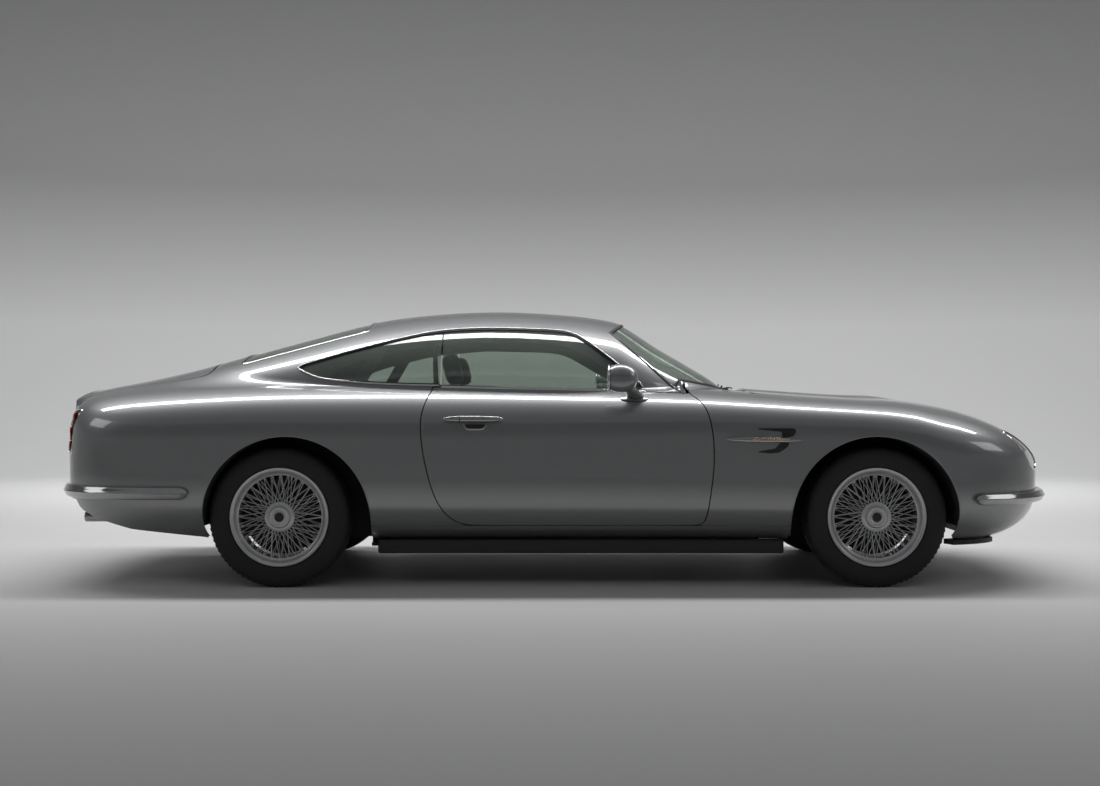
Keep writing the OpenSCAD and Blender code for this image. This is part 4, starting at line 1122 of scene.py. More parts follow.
# %% [markdown]
# ## Door handles
# A slim bright bar lies over a scooped cup in the door, so that fingers reach behind it. The bar
# is a rod whose size follows a rounded curve, and the cup is a dished oval with a lip; a black patch in its
# scoop is painted shadow under the bar.

# %% Handles, wing vents and wheel arch lips
def spindle(x0, x1, z, height, depth, lift, power=0.45, steps=48):
    """A bar along the side between x0 and x1: its section is an oval scaled by (1 - |u|^3)^power."""
    x = np.linspace(x0, x1, steps)
    u = np.clip(np.abs(2 * (x - x0) / (x1 - x0) - 1), 0, 0.999)
    size = (1 - u**3) ** power
    points, normals = on_side(x, np.broadcast_to(z, x.shape))
    profile = oval(1, 1, 16, 2.3)[None] * np.stack([size * height, size * depth], 1)[:, None]
    return swept(points + normals * lift, profile, normals)


def dish(x, z, half_x, half_z, depth, rings=8, steps=48, lift=0.0008):
    """A shallow oval bowl on the side: points x + a r cos, z + b r sin, pushed in by depth (1 - r^2)^2."""
    r = np.linspace(0, 1, rings)[:, None]
    a = np.linspace(0, 2 * np.pi, steps, endpoint=False)[None, :]
    points, normals = on_side(x + half_x * r * np.cos(a), z + half_z * r * np.sin(a))
    sunk = points + normals * (lift - depth * (1 - r**2)[..., None] ** 2)
    back = sunk - normals * 0.002
    flat = np.concatenate([sunk.reshape(-1, 3), back.reshape(-1, 3)])
    n = rings * steps
    i, j = np.arange(rings - 1)[:, None], np.arange(steps)[None, :]
    k = (j + 1) % steps
    quads = np.stack([i * steps + j, (i + 1) * steps + j, (i + 1) * steps + k, i * steps + k],
                     -1).reshape(-1, 4)
    rim = np.stack([(rings - 1) * steps + np.arange(steps), (rings - 1) * steps + np.roll(np.arange(steps),
                                                                                          -1)], 1)
    side_faces = np.stack([rim[:, 0], rim[:, 0] + n, rim[:, 1] + n, rim[:, 1]], 1)
    return flat, [quads, quads[:, ::-1] + n, side_faces]


def hand_of(shape, hand):
    """The shape on the asked side of the car."""
    points, faces = shape
    return (points if hand == "right" else mirrored(points)), faces


def patch(outline, lift, thickness):
    """A flat shape seen from the side laid on the skin: a ring of points closed by a middle point."""
    outline = np.asarray(outline, float)
    middle = outline.mean(0)
    r = np.linspace(0, 1, 5)[:, None, None]
    grid = middle + (outline - middle) * r
    points, normals = on_side(grid[..., 0], grid[..., 1])
    top, back = points + normals * lift, points + normals * (lift - thickness)
    steps = len(outline)
    n = 5 * steps
    i, j = np.arange(4)[:, None], np.arange(steps)[None, :]
    k = (j + 1) % steps
    quads = np.stack([i * steps + j, (i + 1) * steps + j, (i + 1) * steps + k, i * steps + k],
                     -1).reshape(-1, 4)
    ring = 4 * steps + np.arange(steps)
    sides = np.stack([ring, ring + n, np.roll(ring, -1) + n, np.roll(ring, -1)], 1)
    return np.concatenate([top.reshape(-1, 3), back.reshape(-1, 3)]), [quads, quads[:, ::-1] + n, sides]


for hand in ("right", "left"):
    body = "door_" + hand
    add_shape("handle_cup_" + hand, hand_of(dish(-388, 769, 62, 36, 0.004), hand), PAINT, body, 50)
    # The black patch in the cup's scoop is painted shadow under the bar.
    scoop = cut_corners([[-438, 752], [-338, 752], [-352, 735], [-424, 735]], 14)
    add_shape("handle_shadow_" + hand, hand_of(patch(scoop, 0.0022, 0.001), hand), BLACK, body)
    lip = along_skin(on_side(np.linspace(-440, -336, 30), 752 - 24 * (1 - (np.linspace(-1, 1, 30)) ** 6)),
                     oval(0.004, 0.005, 8), 0.001)
    add_shape("handle_lip_" + hand, hand_of(lip, hand), CHROME, body)
    bar = several([spindle(-533, -261, 771, 0.028, 0.020, 0.020), spindle(-505, -480, 771, 0.020, 0.026,
                                                                          0.008),
                   spindle(-300, -276, 771, 0.018, 0.026, 0.008)])
    add_shape("handle_bar_" + hand, hand_of(bar, hand), BRIGHT, body, 50)
    line = along_skin(on_side(np.full(9, -458.0), np.linspace(757, 785, 9)), oval(0.0035, 0.003, 8), 0.0306)
    add_shape("handle_split_" + hand, hand_of(line, hand), BLACK, body)

# The strake lies over an air outlet behind the front wheel
vent_high = cut_corners([[905, 735], [1072, 735], [1080, 722], [1066, 698], [1010, 690], [1035, 716],
                         [1020, 727], [905, 729]], 12)
vent_low = cut_corners([[905, 625], [960, 620], [1000, 624], [1040, 650], [1048, 676], [1010, 676],
                        [985, 640], [905, 630]], 10)
opening = several([patch(vent_high, 0.0012, 0.001), patch(vent_low, 0.0012, 0.001)])
add_shape("wing_vent_openings", both_hands(opening), BLACK)
strake = several([spindle(757, 1108, np.linspace(684, 680, 48), 0.026, 0.022, 0.009, 0.75)])
add_shape("wing_vent_strakes", both_hands(strake), BRIGHT, "root", 50)
insert = spindle(868, 1046, 682, 0.009, 0.006, 0.0195, 0.3)
add_shape("wing_vent_inserts", both_hands(insert), COPPER)

# Rolled lips round the wheel openings
for name, centre in (("front", 1448), ("rear", -1252)):
    a = np.radians(np.linspace(-12, 192, 110))
    x = centre + 386.5 * np.cos(a)
    z = 313 + 386.5 * np.sin(a)
    lip = along_skin(on_side(x, z), oval(0.006, 0.005, 10), 0.0)
    add_shape("arch_lips_" + name, both_hands(lip), PAINT)

# %% [markdown]
# ## Door mirrors
# A mirror head is an egg-shaped shell on a short foot, painted above and polished round the glass.

# %% Mirrors
def ellipsoid(centre, radii, steps=(28, 40), power=2.3, cut=None):
    """A superellipsoid from two angles: |x/a|^p + |y/b|^p + |z/c|^p = 1, flattened behind x = cut."""
    v, u = np.linspace(-np.pi / 2, np.pi / 2, steps[0])[:, None], np.linspace(0, 2 * np.pi, steps[1],
                                                                              endpoint=False)[None, :]
    d = np.stack([np.cos(v) * np.cos(u), np.cos(v) * np.sin(u), np.sin(v) + 0 * u], -1)
    r = (np.abs(d) ** power).sum(-1, keepdims=True) ** (-1 / power)
    p = d * r * np.asarray(radii)
    if cut is not None:
        p[..., 0] = np.maximum(p[..., 0], cut)
    return (p + np.asarray(centre)).reshape(-1, 3), [grid_faces(steps[0], steps[1], wrap=True)]


mirror_head = ellipsoid((0.277, -0.925, 0.963), (0.080, 0.064, 0.064), power=2.15, cut=-0.060)
mirror_glass = ellipsoid((0.2205, -0.925, 0.962), (0.004, 0.052, 0.052), (12, 32))
stem_path = np.array([[0.350, -0.800, 0.866], [0.348, -0.828, 0.884], [0.330, -0.868, 0.905],
                      [0.304, -0.900, 0.925]])
stem_t = np.linspace(0, 3, 22)
stem_line = np.stack([np.interp(stem_t, np.arange(4), stem_path[:, k]) for k in range(3)], 1)
for _ in range(4):
    stem_line[1:-1] = (stem_line[:-2] + 2 * stem_line[1:-1] + stem_line[2:]) / 4
stem_size = np.stack([0.110 - 0.060 * np.linspace(0, 1, 22) ** 0.6, 0.046 - 0.018 * np.linspace(0, 1, 22)], 1)
stem = swept(stem_line, oval(1, 1, 20, 2.4)[None] * stem_size[:, None], (0, 0, 1))
band_a = np.linspace(0, 2 * np.pi, 48, endpoint=False)
band_path = np.stack([np.full(48, 0.2235), -0.925 + 0.0575 * np.cos(band_a),
                      0.9625 + 0.0595 * np.sin(band_a)], 1)
band = swept(band_path, oval(0.008, 0.006, 10), (1.0, 0, 0), closed=True)
foot = spindle(278, 412, 870, 0.052, 0.010, 0.002, 0.5)
for hand in ("right", "left"):
    body = "door_" + hand
    add_shape("mirror_head_" + hand, hand_of(mirror_head, hand), PAINT, body, 50)
    add_shape("mirror_stem_" + hand, hand_of(several([stem, foot]), hand), PAINT, body, 50)
    add_shape("mirror_band_" + hand, hand_of(band, hand), CHROME, body, 50)
    add_shape("mirror_glass_" + hand, hand_of(mirror_glass, hand), CHROME, body, 50)

# %% [markdown]
# ## Sills, splitter and exhaust
# A black strip hides the floor edge below the sill, and a thin splitter lies under the nose. The
# exhaust ends in two short oval tips under the tail.

# %% Lower trims
def slab(x0, x1, y0, y1, z0, z1, bevel=0.004):
    """A bevelled box from x0..x1, y0..y1, z0..z1 in metres."""
    size = np.array([x1 - x0, y1 - y0, z1 - z0]) / 2
    centre = np.array([x1 + x0, y1 + y0, z1 + z0]) / 2
    b = min(bevel, size.min() * 0.45)
    levels = [(-size[2], size[0] - b, size[1] - b), (-size[2] + b, size[0], size[1]),
              (size[2] - b, size[0], size[1]), (size[2], size[0] - b, size[1] - b)]
    rows = []
    for z, a, c in levels:
        k = b
        rows.append([[a - k, -c, z], [a, -c + k, z], [a, c - k, z], [a - k, c, z], [-a + k, c, z],
                     [-a, c - k, z], [-a, -c + k, z], [-a + k, -c, z]])
    points = np.array(rows).reshape(-1, 3) + centre
    faces = grid_faces(4, 8, wrap=True)
    return points, [faces, np.array([[7, 6, 5, 4, 3, 2, 1, 0]]), np.array([[24, 25, 26, 27, 28, 29, 30, 31]])]


skirt = slab(-0.846, 1.044, -0.785, -0.742, 0.149, 0.2155, 0.006)
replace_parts(add_shape("sill_strips", both_hands(skirt), BLACK), "lower_trim")


def splitter():
    """A thin black tongue under the nose that follows its plan: inner edge at 0.93 of the outer one."""
    x = 1850 + 235 * np.sin(np.linspace(0, np.pi / 2, 40))
    points, _ = on_side(x, np.full(40, 214.0))
    outer = np.concatenate([points[:, :2] * [1, 0.985], (points[:, :2] * [1, -0.985])[::-1]])
    inner = outer * [0.985, 0.9]
    levels = [(outer, 0.182), (outer, 0.204), (inner, 0.206), (inner, 0.182)]
    flat = np.concatenate([np.column_stack([ring, np.full(len(ring), z)]) for ring, z in levels])
    n = len(outer)
    j = np.arange(n - 1)
    faces = [np.stack([a * n + j, a * n + j + 1, b * n + j + 1, b * n + j], 1) for a,
             b in ((0, 1), (1, 2), (2, 3), (3, 0))]
    caps = np.array([[0, n, 2 * n, 3 * n], [4 * n - 1, 3 * n - 1, 2 * n - 1, n - 1]])
    return flat, faces + [caps]


add_shape("nose_splitter", splitter(), BLACK)


def exhaust_tip():
    """An oval pipe with a rolled end: outer and inner ovals swept along x."""
    x = np.array([-2.284, -2.286, -2.284, -2.270, -2.10, -1.99, -1.99, -2.10, -2.270, -2.282])
    size = np.array([1.0, 1.03, 1.05, 1.05, 1.0, 0.98, 0.90, 0.92, 0.94, 0.95])
    ring = oval(0.092, 0.050, 40, 2.4)
    points = np.stack([np.broadcast_to(x[:, None], (10, 40)), -0.5 + ring[:, 0] * size[:, None],
                       0.300 + ring[:, 1] * size[:, None]], -1)
    faces = grid_faces(10, 40, wrap=True)
    last = 9 * 40 + np.arange(40)
    closing_faces = np.stack([last, np.roll(last, -1), np.roll(np.arange(40), -1), np.arange(40)], 1)
    return points.reshape(-1, 3), [faces, closing_faces]


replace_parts(add_shape("exhaust_tips", both_hands(exhaust_tip()), STEEL), "exhaust")

# %% [markdown]
# ### Wheel arch liners
# Black moulded liners keep stones and water off the body. Here a wall closes each arch towards
# the middle of the car, far enough in for the steered front wheels.

# %% Arch liners
def arch_wall(x, y, radius=0.388, bottom=0.215):
    """A wall the shape of the wheel opening, 5 mm thick, at y: a half circle over two straight sides."""
    a = np.linspace(0, np.pi, 40)
    outline = np.column_stack([x + radius * np.cos(a), 0.313 + radius * np.sin(a)])
    outline = np.concatenate([[[x + radius, bottom]], outline, [[x - radius, bottom]]])
    n = len(outline)
    points = np.concatenate([np.column_stack([outline[:, 0], np.full(n, -y + d),
                                              outline[:, 1]]) for d in (0.0, 0.005)])
    j = np.arange(n)
    sides = np.stack([j, np.roll(j, -1), np.roll(j, -1) + n, j + n], 1)
    k = np.arange(n // 2 - 1)
    cap = np.stack([k, k + 1, n - 2 - k, n - 1 - k], 1)
    return points, [sides, cap, cap[:, ::-1] + n]


add_shape("arch_liners", both_hands(several([arch_wall(-1.252, 0.634), arch_wall(1.448, 0.500, 0.386)])),
          UNDERSIDE)

# %% [markdown]
# ## Lamps and grille
# Round lamps sit behind clear covers that follow the wing. Each has a polished bowl, a lens and a
# small bulb. The oval grille is a bright frame round thin cross bars, dark behind.

# %% Front lamps and grille
def bowl(centre, radius, depth, wall=0.002, axis=1.0, steps=48):
    """A dished reflector opening along x: x = -depth (1 - (r/R)^2), turned round the x axis."""
    r = np.linspace(0.0, 1.0, 9)
    inner = np.stack([-depth * (1 - r**2), r * radius], 1)
    outer = np.stack([-depth * (1 - r[::-1] ** 2) - wall, r[::-1] * radius + wall * r[::-1]], 1)
    return around_x(np.concatenate([inner, outer]), centre, axis, steps)


def around_x(profile, centre, axis=1.0, steps=48):
    """Turns a closed profile of (depth, radius) round a line along x through the centre."""
    a = np.linspace(0, 2 * np.pi, steps, endpoint=False)[:, None]
    p = np.stack([axis * profile[:, 0] + 0 * a, profile[:, 1] * np.cos(a), profile[:, 1] * np.sin(a)],
                 -1) + centre
    m = len(profile)
    faces = grid_faces(steps, m, wrap=True)
    last, first = (steps - 1) * m + np.arange(m), np.arange(m)
    return p.reshape(-1, 3), [np.concatenate([faces, np.stack([last, np.roll(last, -1), np.roll(first, -1),
                                                               first], 1)])]


def dome(centre, radius, bulge, wall, axis=1.0, steps=48):
    """A lens: x = bulge (1 - (r/R)^2) in front, flat behind."""
    r = np.linspace(0.0, 1.0, 8)
    front = np.stack([bulge * (1 - r**2), r * radius], 1)
    return around_x(np.concatenate([front, [[-wall, radius], [-wall, 0.0]]]), centre, axis, steps)


cover_zone = both(end_hole(0.625, 0.625, 0.0912, 0.0912, 0.0911, 1.9), beyond(0, 1.95))
span = (seen_from(2030), 89.0)
cover = panel("lamp_covers", cover_zone, span, (0.30, 0.85), (90, 90), CLEAR, wall=0.003, depth=0.0015,
              half="both")
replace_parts(cover, "headlamps")
ring_a = np.linspace(0, 2 * np.pi, 72, endpoint=False)


def from_front(y, z):
    """Skin ahead of y and z (millimetres, right side): halves x from 1900 to the tip until it reaches y."""
    low, high = np.full(np.shape(y), 1900.0), np.full(np.shape(y), 2349.0)
    for _ in range(24):
        x = (low + high) / 2
        wide = -on_side(x, z)[0][..., 1] * 1000 > y
        low, high = np.where(wide, x, low), np.where(wide, high, x)
    return on_side((low + high) / 2, z)


rim_points, rim_normals = from_front(625 + 92 * np.cos(ring_a), 625 + 92 * np.sin(ring_a))
lamp_rim = swept(rim_points + rim_normals * 0.0005, oval(0.010, 0.007, 10), rim_normals, True)
add_shape("lamp_rims", both_hands(lamp_rim), CHROME)
lamp_x = float(rim_points[:, 0].min())
print("lamp rim from x", round(lamp_x, 3), "to", round(float(rim_points[:, 0].max()), 3))
lamp_parts = both_hands(several([bowl((lamp_x + 0.015, -0.625, 0.625), 0.080, 0.050)]))
add_shape("lamp_bowls", lamp_parts, CHROME)
lens = both_hands(dome((lamp_x + 0.017, -0.625, 0.625), 0.070, 0.016, 0.004))
add_shape("lamp_lenses", lens, CLEAR)
bulbs = both_hands(ellipsoid((lamp_x - 0.015, -0.625, 0.625), (0.014, 0.010, 0.010), (10, 16)))
add_shape("lamp_bulbs", bulbs, CHROME)
tube_wall = both_hands(around_x(np.array([[0.006, 0.0815], [0.010, 0.088], [-0.095, 0.088], [-0.095, 0.0],
                                          [-0.091, 0.0], [-0.091, 0.084]]),
                                (lamp_x + 0.004, -0.625, 0.625)))
add_shape("lamp_housings", tube_wall, BLACK)


def rounded_frame(half_y, half_z, corner, steps=24):
    """Rounded rectangle as (y, z) points: four quarter circles joined by straight lines."""
    a = np.linspace(0, np.pi / 2, steps)
    c = np.stack([np.cos(a), np.sin(a)], 1) * corner
    quarter = c + [half_y - corner, half_z - corner]
    q2 = (c[::-1] * [-1, 1]) + [-(half_y - corner), half_z - corner]
    q3 = -quarter
    q4 = -q2
    return np.concatenate([quarter, q2, q3, q4])


def grille_x(y):
    """The grille's bow: it follows the nose in plan, x = 2.318 - 0.28 y^2."""
    return 2.318 - 0.28 * y**2


frame_line = rounded_frame(0.383, 0.085, 0.068)
surround = np.column_stack([grille_x(frame_line[:, 0]) + 0.004, frame_line[:, 0], frame_line[:, 1] + 0.555])
add_shape("grille_surround", swept(surround, oval(0.016, 0.020, 14, 2.4), (1.0, 0, 0), True), CHROME)
bars = []
for z in np.arange(-4, 5) * 0.0185:
    corner_gap = max(abs(z) - (0.085 - 0.068), 0)
    reach = 0.383 - 0.068 + math.sqrt(max(0.068**2 - corner_gap**2, 0))
    y = np.linspace(-reach, reach, 40)
    bars.append(swept(np.column_stack([grille_x(y) - 0.006, y, np.full(40, 0.555 + z)]),
                      oval(0.004, 0.020, 10, 2.6), (1.0, 0, 0)))
uprights = [swept(np.column_stack([np.full(6, grille_x(y) - 0.018), np.full(6, y),
                                   np.linspace(0.475, 0.635, 6)]), oval(0.004, 0.008, 8), (1.0, 0, 0))
            for y in np.linspace(-0.30, 0.30, 7)]
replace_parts(add_shape("grille_bars", several(bars + uprights), SATIN), "grille")
backing = several([slab(2.175, 2.185, -0.40, 0.40, 0.46, 0.65, 0.002)])
add_shape("grille_backing", backing, BLACK)

# %% [markdown]
# ## Tail lamps
# Three round lenses in a bright oval stand on each side of the tail. Red lenses are moulded with
# small prisms, which the cell pattern raises in the finish.

# %% Tail lamps
def tail_plane(y, z):
    """Skin behind y and z: halves x between the tail's tip and -2100 until the side reaches y."""
    low, high = np.full(np.shape(y), -2369.5), np.full(np.shape(y), -2100.0)
    for _ in range(24):
        x = (low + high) / 2
        wide = -on_side(x, z)[0][..., 1] * 1000 > y
        low, high = np.where(wide, low, x), np.where(wide, x, high)
    return on_side((low + high) / 2, z)


plate = rounded_frame(0.0455, 0.1045, 0.0298, 10)
plate_points, plate_normals = tail_plane(plate[:, 0] * 1000 + 690, plate[:, 1] * 1000 + 715)
tail_ring = swept(plate_points + plate_normals * 0.0005, oval(0.008, 0.007, 10), plate_normals, True)
add_shape("tail_lamp_rims", both_hands(tail_ring), CHROME)
ring_n = len(plate)
base = np.concatenate([plate_points * [1, 1, 1] + [0.004, 0, 0], plate_points + [0.030, 0, 0]])
j = np.arange(ring_n)
side_quads = np.stack([j, np.roll(j, -1), np.roll(j, -1) + ring_n, j + ring_n], 1)
half_n = ring_n // 2
k = np.arange(half_n - 1)
cap = np.stack([k, k + 1, ring_n - 2 - k, ring_n - 1 - k], 1)
add_shape("tail_lamp_plates", both_hands((base, [side_quads, cap, cap[:, ::-1] + ring_n])), SATIN)
lenses = []
for z in (0.648, 0.715, 0.782):
    spot_point, _ = tail_plane(np.array([690.0]), np.array([z * 1000]))
    lenses.append(dome((float(spot_point[0, 0]) + 0.004, -0.690, z), 0.029, 0.006, 0.005, -1.0, 36))
tail = add_shape("tail_lamp_lenses", both_hands(several(lenses)), RED_LENS)
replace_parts(tail, "tail_lamps")
print("tail lamps:", len(lenses), "a side")

# %% [markdown]
# ## Seats
# The seats are foam under leather. Each cushion is a soft box with fluted centre panels, so its
# surface is a superellipsoid with a cosine ripple across the middle.

# %% Seats
def cushion(centre, size, tilt=0.0, flutes=5, ripple=0.006, power=5.0):
    """A padded block: a superellipsoid, its thin side rippled by flutes; tilt turns it round y (degrees)."""
    steps = (40, 56)
    v, u = np.linspace(-np.pi / 2, np.pi / 2, steps[0])[:, None], np.linspace(0, 2 * np.pi, steps[1],
                                                                              endpoint=False)[None, :]
    d = np.stack([np.cos(v) * np.cos(u), np.cos(v) * np.sin(u), np.sin(v) + 0 * u], -1)
    r = (np.abs(d) ** power).sum(-1, keepdims=True) ** (-1 / power)
    p = d * r
    middle = np.clip(1.15 - np.abs(p[..., 1]) * 1.5, 0, 1) * np.clip(1.6 - np.abs(p[..., 0]) * 1.6, 0, 1)
    wave = ripple * np.abs(np.sin(p[..., 1] * flutes * np.pi / 1.4)) * middle - ripple * 1.5 * middle
    half = np.asarray(size) / 2
    q = p * half
    q[..., 2] += wave * np.sign(p[..., 2])
    t = math.radians(tilt)
    turned_x = q[..., 0] * math.cos(t) + q[..., 2] * math.sin(t)
    turned_z = -q[..., 0] * math.sin(t) + q[..., 2] * math.cos(t)
    return (np.stack([turned_x, q[..., 1], turned_z],
                     -1) + np.asarray(centre)).reshape(-1, 3), [grid_faces(steps[0], steps[1], wrap=True)]


FRONT_SEAT = (("base", cushion((-0.155, -0.370, 0.366), (0.500, 0.500, 0.165), -4)),
              ("back", cushion((-0.455, -0.370, 0.668), (0.560, 0.490, 0.120), -111)),
              ("headrest", cushion((-0.522, -0.370, 1.012), (0.150, 0.220, 0.088), -104, 1, 0.0, 3.2)))
seat_pieces = []
for hand in ("right", "left"):
    for part, shape in FRONT_SEAT:
        piece = add_shape("front_seat_%s_%s" % (part, hand), hand_of(shape, hand), LEATHER, "root", 70)
        seat_pieces.append(piece)
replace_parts(seat_pieces[0], "front_seats")
posts = several([swept(np.column_stack([np.full(4, -0.515), np.full(4, y), np.linspace(0.90, 0.96, 4)]),
                       oval(0.010, 0.010, 10), (1, 0, 0)) for y in (-0.33, -0.41)])
add_shape("headrest_posts", both_hands(posts), CHROME)
seat_base = several([slab(-0.36, 0.04, -0.52, -0.22, 0.1965, 0.292, 0.01)])
add_shape("front_seat_mounts", both_hands(seat_base), BLACK)
rear_pieces = []
for hand in ("right", "left"):
    for part, shape in (("base", cushion((-0.752, -0.350, 0.290), (0.240, 0.410, 0.180), -2)),
                        ("back", cushion((-0.835, -0.350, 0.520), (0.300, 0.410, 0.085), -100))):
        piece = add_shape("rear_seat_%s_%s" % (part, hand), hand_of(shape, hand), LEATHER, "root", 70)
        rear_pieces.append(piece)
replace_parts(rear_pieces[0], "rear_seat")

# %% [markdown]
# ## Cabin trim
# The dashboard is a padded roll across the car. The wheel has a wooden rim on three drilled
# spokes, and two round dials stand behind it. A black lining covers the roof and the pillars.

# %% Dashboard and steering wheel
dash_line = cut_corners([[928, 610], [928, 846], [720, 860], [612, 848], [588, 800], [606, 740], [650, 700],
                         [622, 650], [660, 604]], 26) / 1000
dash_y = np.linspace(-0.618, 0.618, 60)
dash_points = np.stack([np.broadcast_to(dash_line[None, :, 0], (60, len(dash_line))),
                        np.broadcast_to(dash_y[:, None], (60, len(dash_line))),
                        np.broadcast_to(dash_line[None, :, 1], (60, len(dash_line)))], -1).reshape(-1, 3)
dash_faces = [grid_faces(60, len(dash_line), wrap=True), np.arange(len(dash_line))[None, :],
              (59 * len(dash_line) + np.arange(len(dash_line))[::-1])[None, :]]
dash = add_shape("dashboard_roll", (dash_points, dash_faces), LEATHER)
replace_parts(dash, "dashboard")
hood = cushion((0.690, 0.370, 0.858), (0.150, 0.340, 0.060), 6, 1, 0.0, 3.5)
add_shape("dial_hood", hood, LEATHER)
WHEEL_CENTRE, WHEEL_AXIS = np.array([0.395, 0.370, 0.778]), np.array([math.cos(math.radians(22)), 0,
                                                                      -math.sin(math.radians(22))])
ACROSS = np.array([0, 1.0, 0])
UPWARD = np.cross(WHEEL_AXIS, ACROSS)


def dial(centre, radius):
    """A dial facing the driver: a bright ring round a black face."""
    a = np.linspace(0, 2 * np.pi, 36, endpoint=False)[:, None]
    ring = centre + radius * (np.cos(a) * ACROSS + np.sin(a) * UPWARD)
    face_back = centre + WHEEL_AXIS * 0.008
    k = np.arange(36)
    disc = np.concatenate([ring, ring + WHEEL_AXIS * 0.008, [centre], [face_back]])
    faces = [np.stack([k, np.roll(k, -1), np.roll(k, -1) + 36, k + 36], 1),
             np.stack([k, np.roll(k, -1), np.full(36, 72)], 1),
             np.stack([np.roll(k, -1) + 36, k + 36, np.full(36, 73)], 1)]
    return swept(ring, oval(0.006, 0.009, 10), WHEEL_AXIS, True), (disc, faces)


DIALS = ((0.300, 0.046), (0.440, 0.046), (0.10, 0.026), (0.02, 0.026), (-0.06, 0.026))
dials = [dial(np.array([0.592, y, 0.806]), radius) for y, radius in DIALS]
add_shape("dial_rings", several([d[0] for d in dials]), CHROME)
add_shape("dial_faces", several([d[1] for d in dials]), GLOSS_BLACK)
rim_a = np.linspace(0, 2 * np.pi, 96, endpoint=False)[:, None]
rim_line = WHEEL_CENTRE + 0.182 * (np.cos(rim_a) * ACROSS + np.sin(rim_a) * UPWARD)
grip = add_shape("steering_rim", swept(rim_line, oval(0.026, 0.022, 14), WHEEL_AXIS, True), WOOD)
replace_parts(grip, "steering_wheel")
arms = []
for angle in (0, 180, 270):
    d = math.cos(math.radians(angle)) * ACROSS + math.sin(math.radians(angle)) * UPWARD
    arms.append(swept(WHEEL_CENTRE + np.linspace(0.028, 0.176, 12)[:, None] * d + WHEEL_AXIS * 0.006,
                      oval(0.030, 0.004, 14, 3.5), WHEEL_AXIS))
boss = [swept(WHEEL_CENTRE + WHEEL_AXIS * np.linspace(-0.008, 0.205, 12)[:, None],
              oval(1, 1, 28)[None] * np.interp(np.arange(12), [0, 1, 2, 11],
                                               [0.050, 0.066, 0.046, 0.044])[:, None, None], UPWARD)]
add_shape("steering_arms", several(arms), SATIN)
add_shape("steering_boss", several(boss), BLACK)
console = several([slab(0.05, 0.62, -0.105, 0.105, 0.332, 0.430, 0.02)])
add_shape("console", console, LEATHER)
lever = several([swept(np.column_stack([np.linspace(0.20, 0.185, 6), np.zeros(6),
                                        np.linspace(0.428, 0.520, 6)]), oval(0.012, 0.012, 12), (0, 1, 0))])
add_shape("gear_lever", lever, CHROME)
add_shape("gear_knob", ellipsoid((0.184, 0, 0.535), (0.024, 0.024, 0.026), (16, 24), 2.0), WOOD)

# %% Linings, braces and wipers
INNER_OPENING = cut_corners([[-1150, 985], [-742, 945], [400, 912], [330, 958], [140, 1082], [40, 1142],
                             [-60, 1156],
                             [-415, 1163], [-700, 1133], [-980, 1060]], 60)
lining_zone = without(both(above_belt, beyond(0, -1.30), before(0, 0.53), beyond(2, 0.93)),
                      side(INNER_OPENING), grow(screen_zone, 0.012),
                      grow(rear_glass_zone, 0.012))
panel("headlining", lining_zone, (seen_from(-1310), seen_from(540)), (0.45, 1.0), (130, 90), HEADLINING,
      wall=0.010, depth=0.030)
brace_zone = either(side([[-990, 930], [-925, 930], [-800, 1150], [-868, 1150]]),
                    side([[-590, 915], [-566, 915], [-586, 1205], [-606, 1205]]),
                    side([[-1260, 960], [-1120, 930], [-1060, 1010], [-1090, 1090]]))
panel("window_braces", both(brace_zone, above_belt), (seen_from(-1270), seen_from(-540)), (0.45, 0.9),
      (110, 70), BLACK, wall=0.010,
      depth=0.018, half="both")
shelf = several([slab(-1.60, -0.893, -0.60, 0.60, 0.862, 0.872, 0.003)])
add_shape("parcel_shelf", shelf, CARPET)


def wiper(pivot_y, tip_y):
    """An arm and a blade on the windscreen between two points of its foot, lifted a little off the glass."""
    y = np.linspace(pivot_y, tip_y, 30)
    x = 884 - 0.5 * np.abs(y - pivot_y) * 0.22 - (np.abs(y) / 740) ** 2 * 60
    arm = swept(on_top(x, y)[0] + on_top(x, y)[1] * 0.012, oval(0.010, 0.006, 8), on_top(x, y)[1])
    blade_y = np.linspace(pivot_y + (tip_y - pivot_y) * 0.25, tip_y, 30)
    blade_x = 868 - 0.5 * np.abs(blade_y - pivot_y) * 0.22 - (np.abs(blade_y) / 740) ** 2 * 60
    blade = swept(on_top(blade_x, blade_y)[0] + on_top(blade_x, blade_y)[1] * 0.006, oval(0.006, 0.010, 8),
                  on_top(blade_x, blade_y)[1])
    return several([arm, blade])


add_shape("wipers", several([wiper(-80.0, -520.0), wiper(430.0, -20.0)]), BLACK)
vent_y = np.linspace(-0.45, 0.45, 60)
slats = several([swept(on_top(np.full(60, x), vent_y * 1000)[0] + on_top(np.full(60, x),
                                                                         vent_y * 1000)[1] * 0.0015,
                                                                         oval(0.005, 0.004, 8),
                       on_top(np.full(60, x), vent_y * 1000)[1]) for x in (898, 906)])
add_shape("scuttle_slats", slats, BLACK)

# %% [markdown]
# ## Materials on the remaining CAD parts
# Parts that stay as they are in the CAD model get the finish that a real one has.

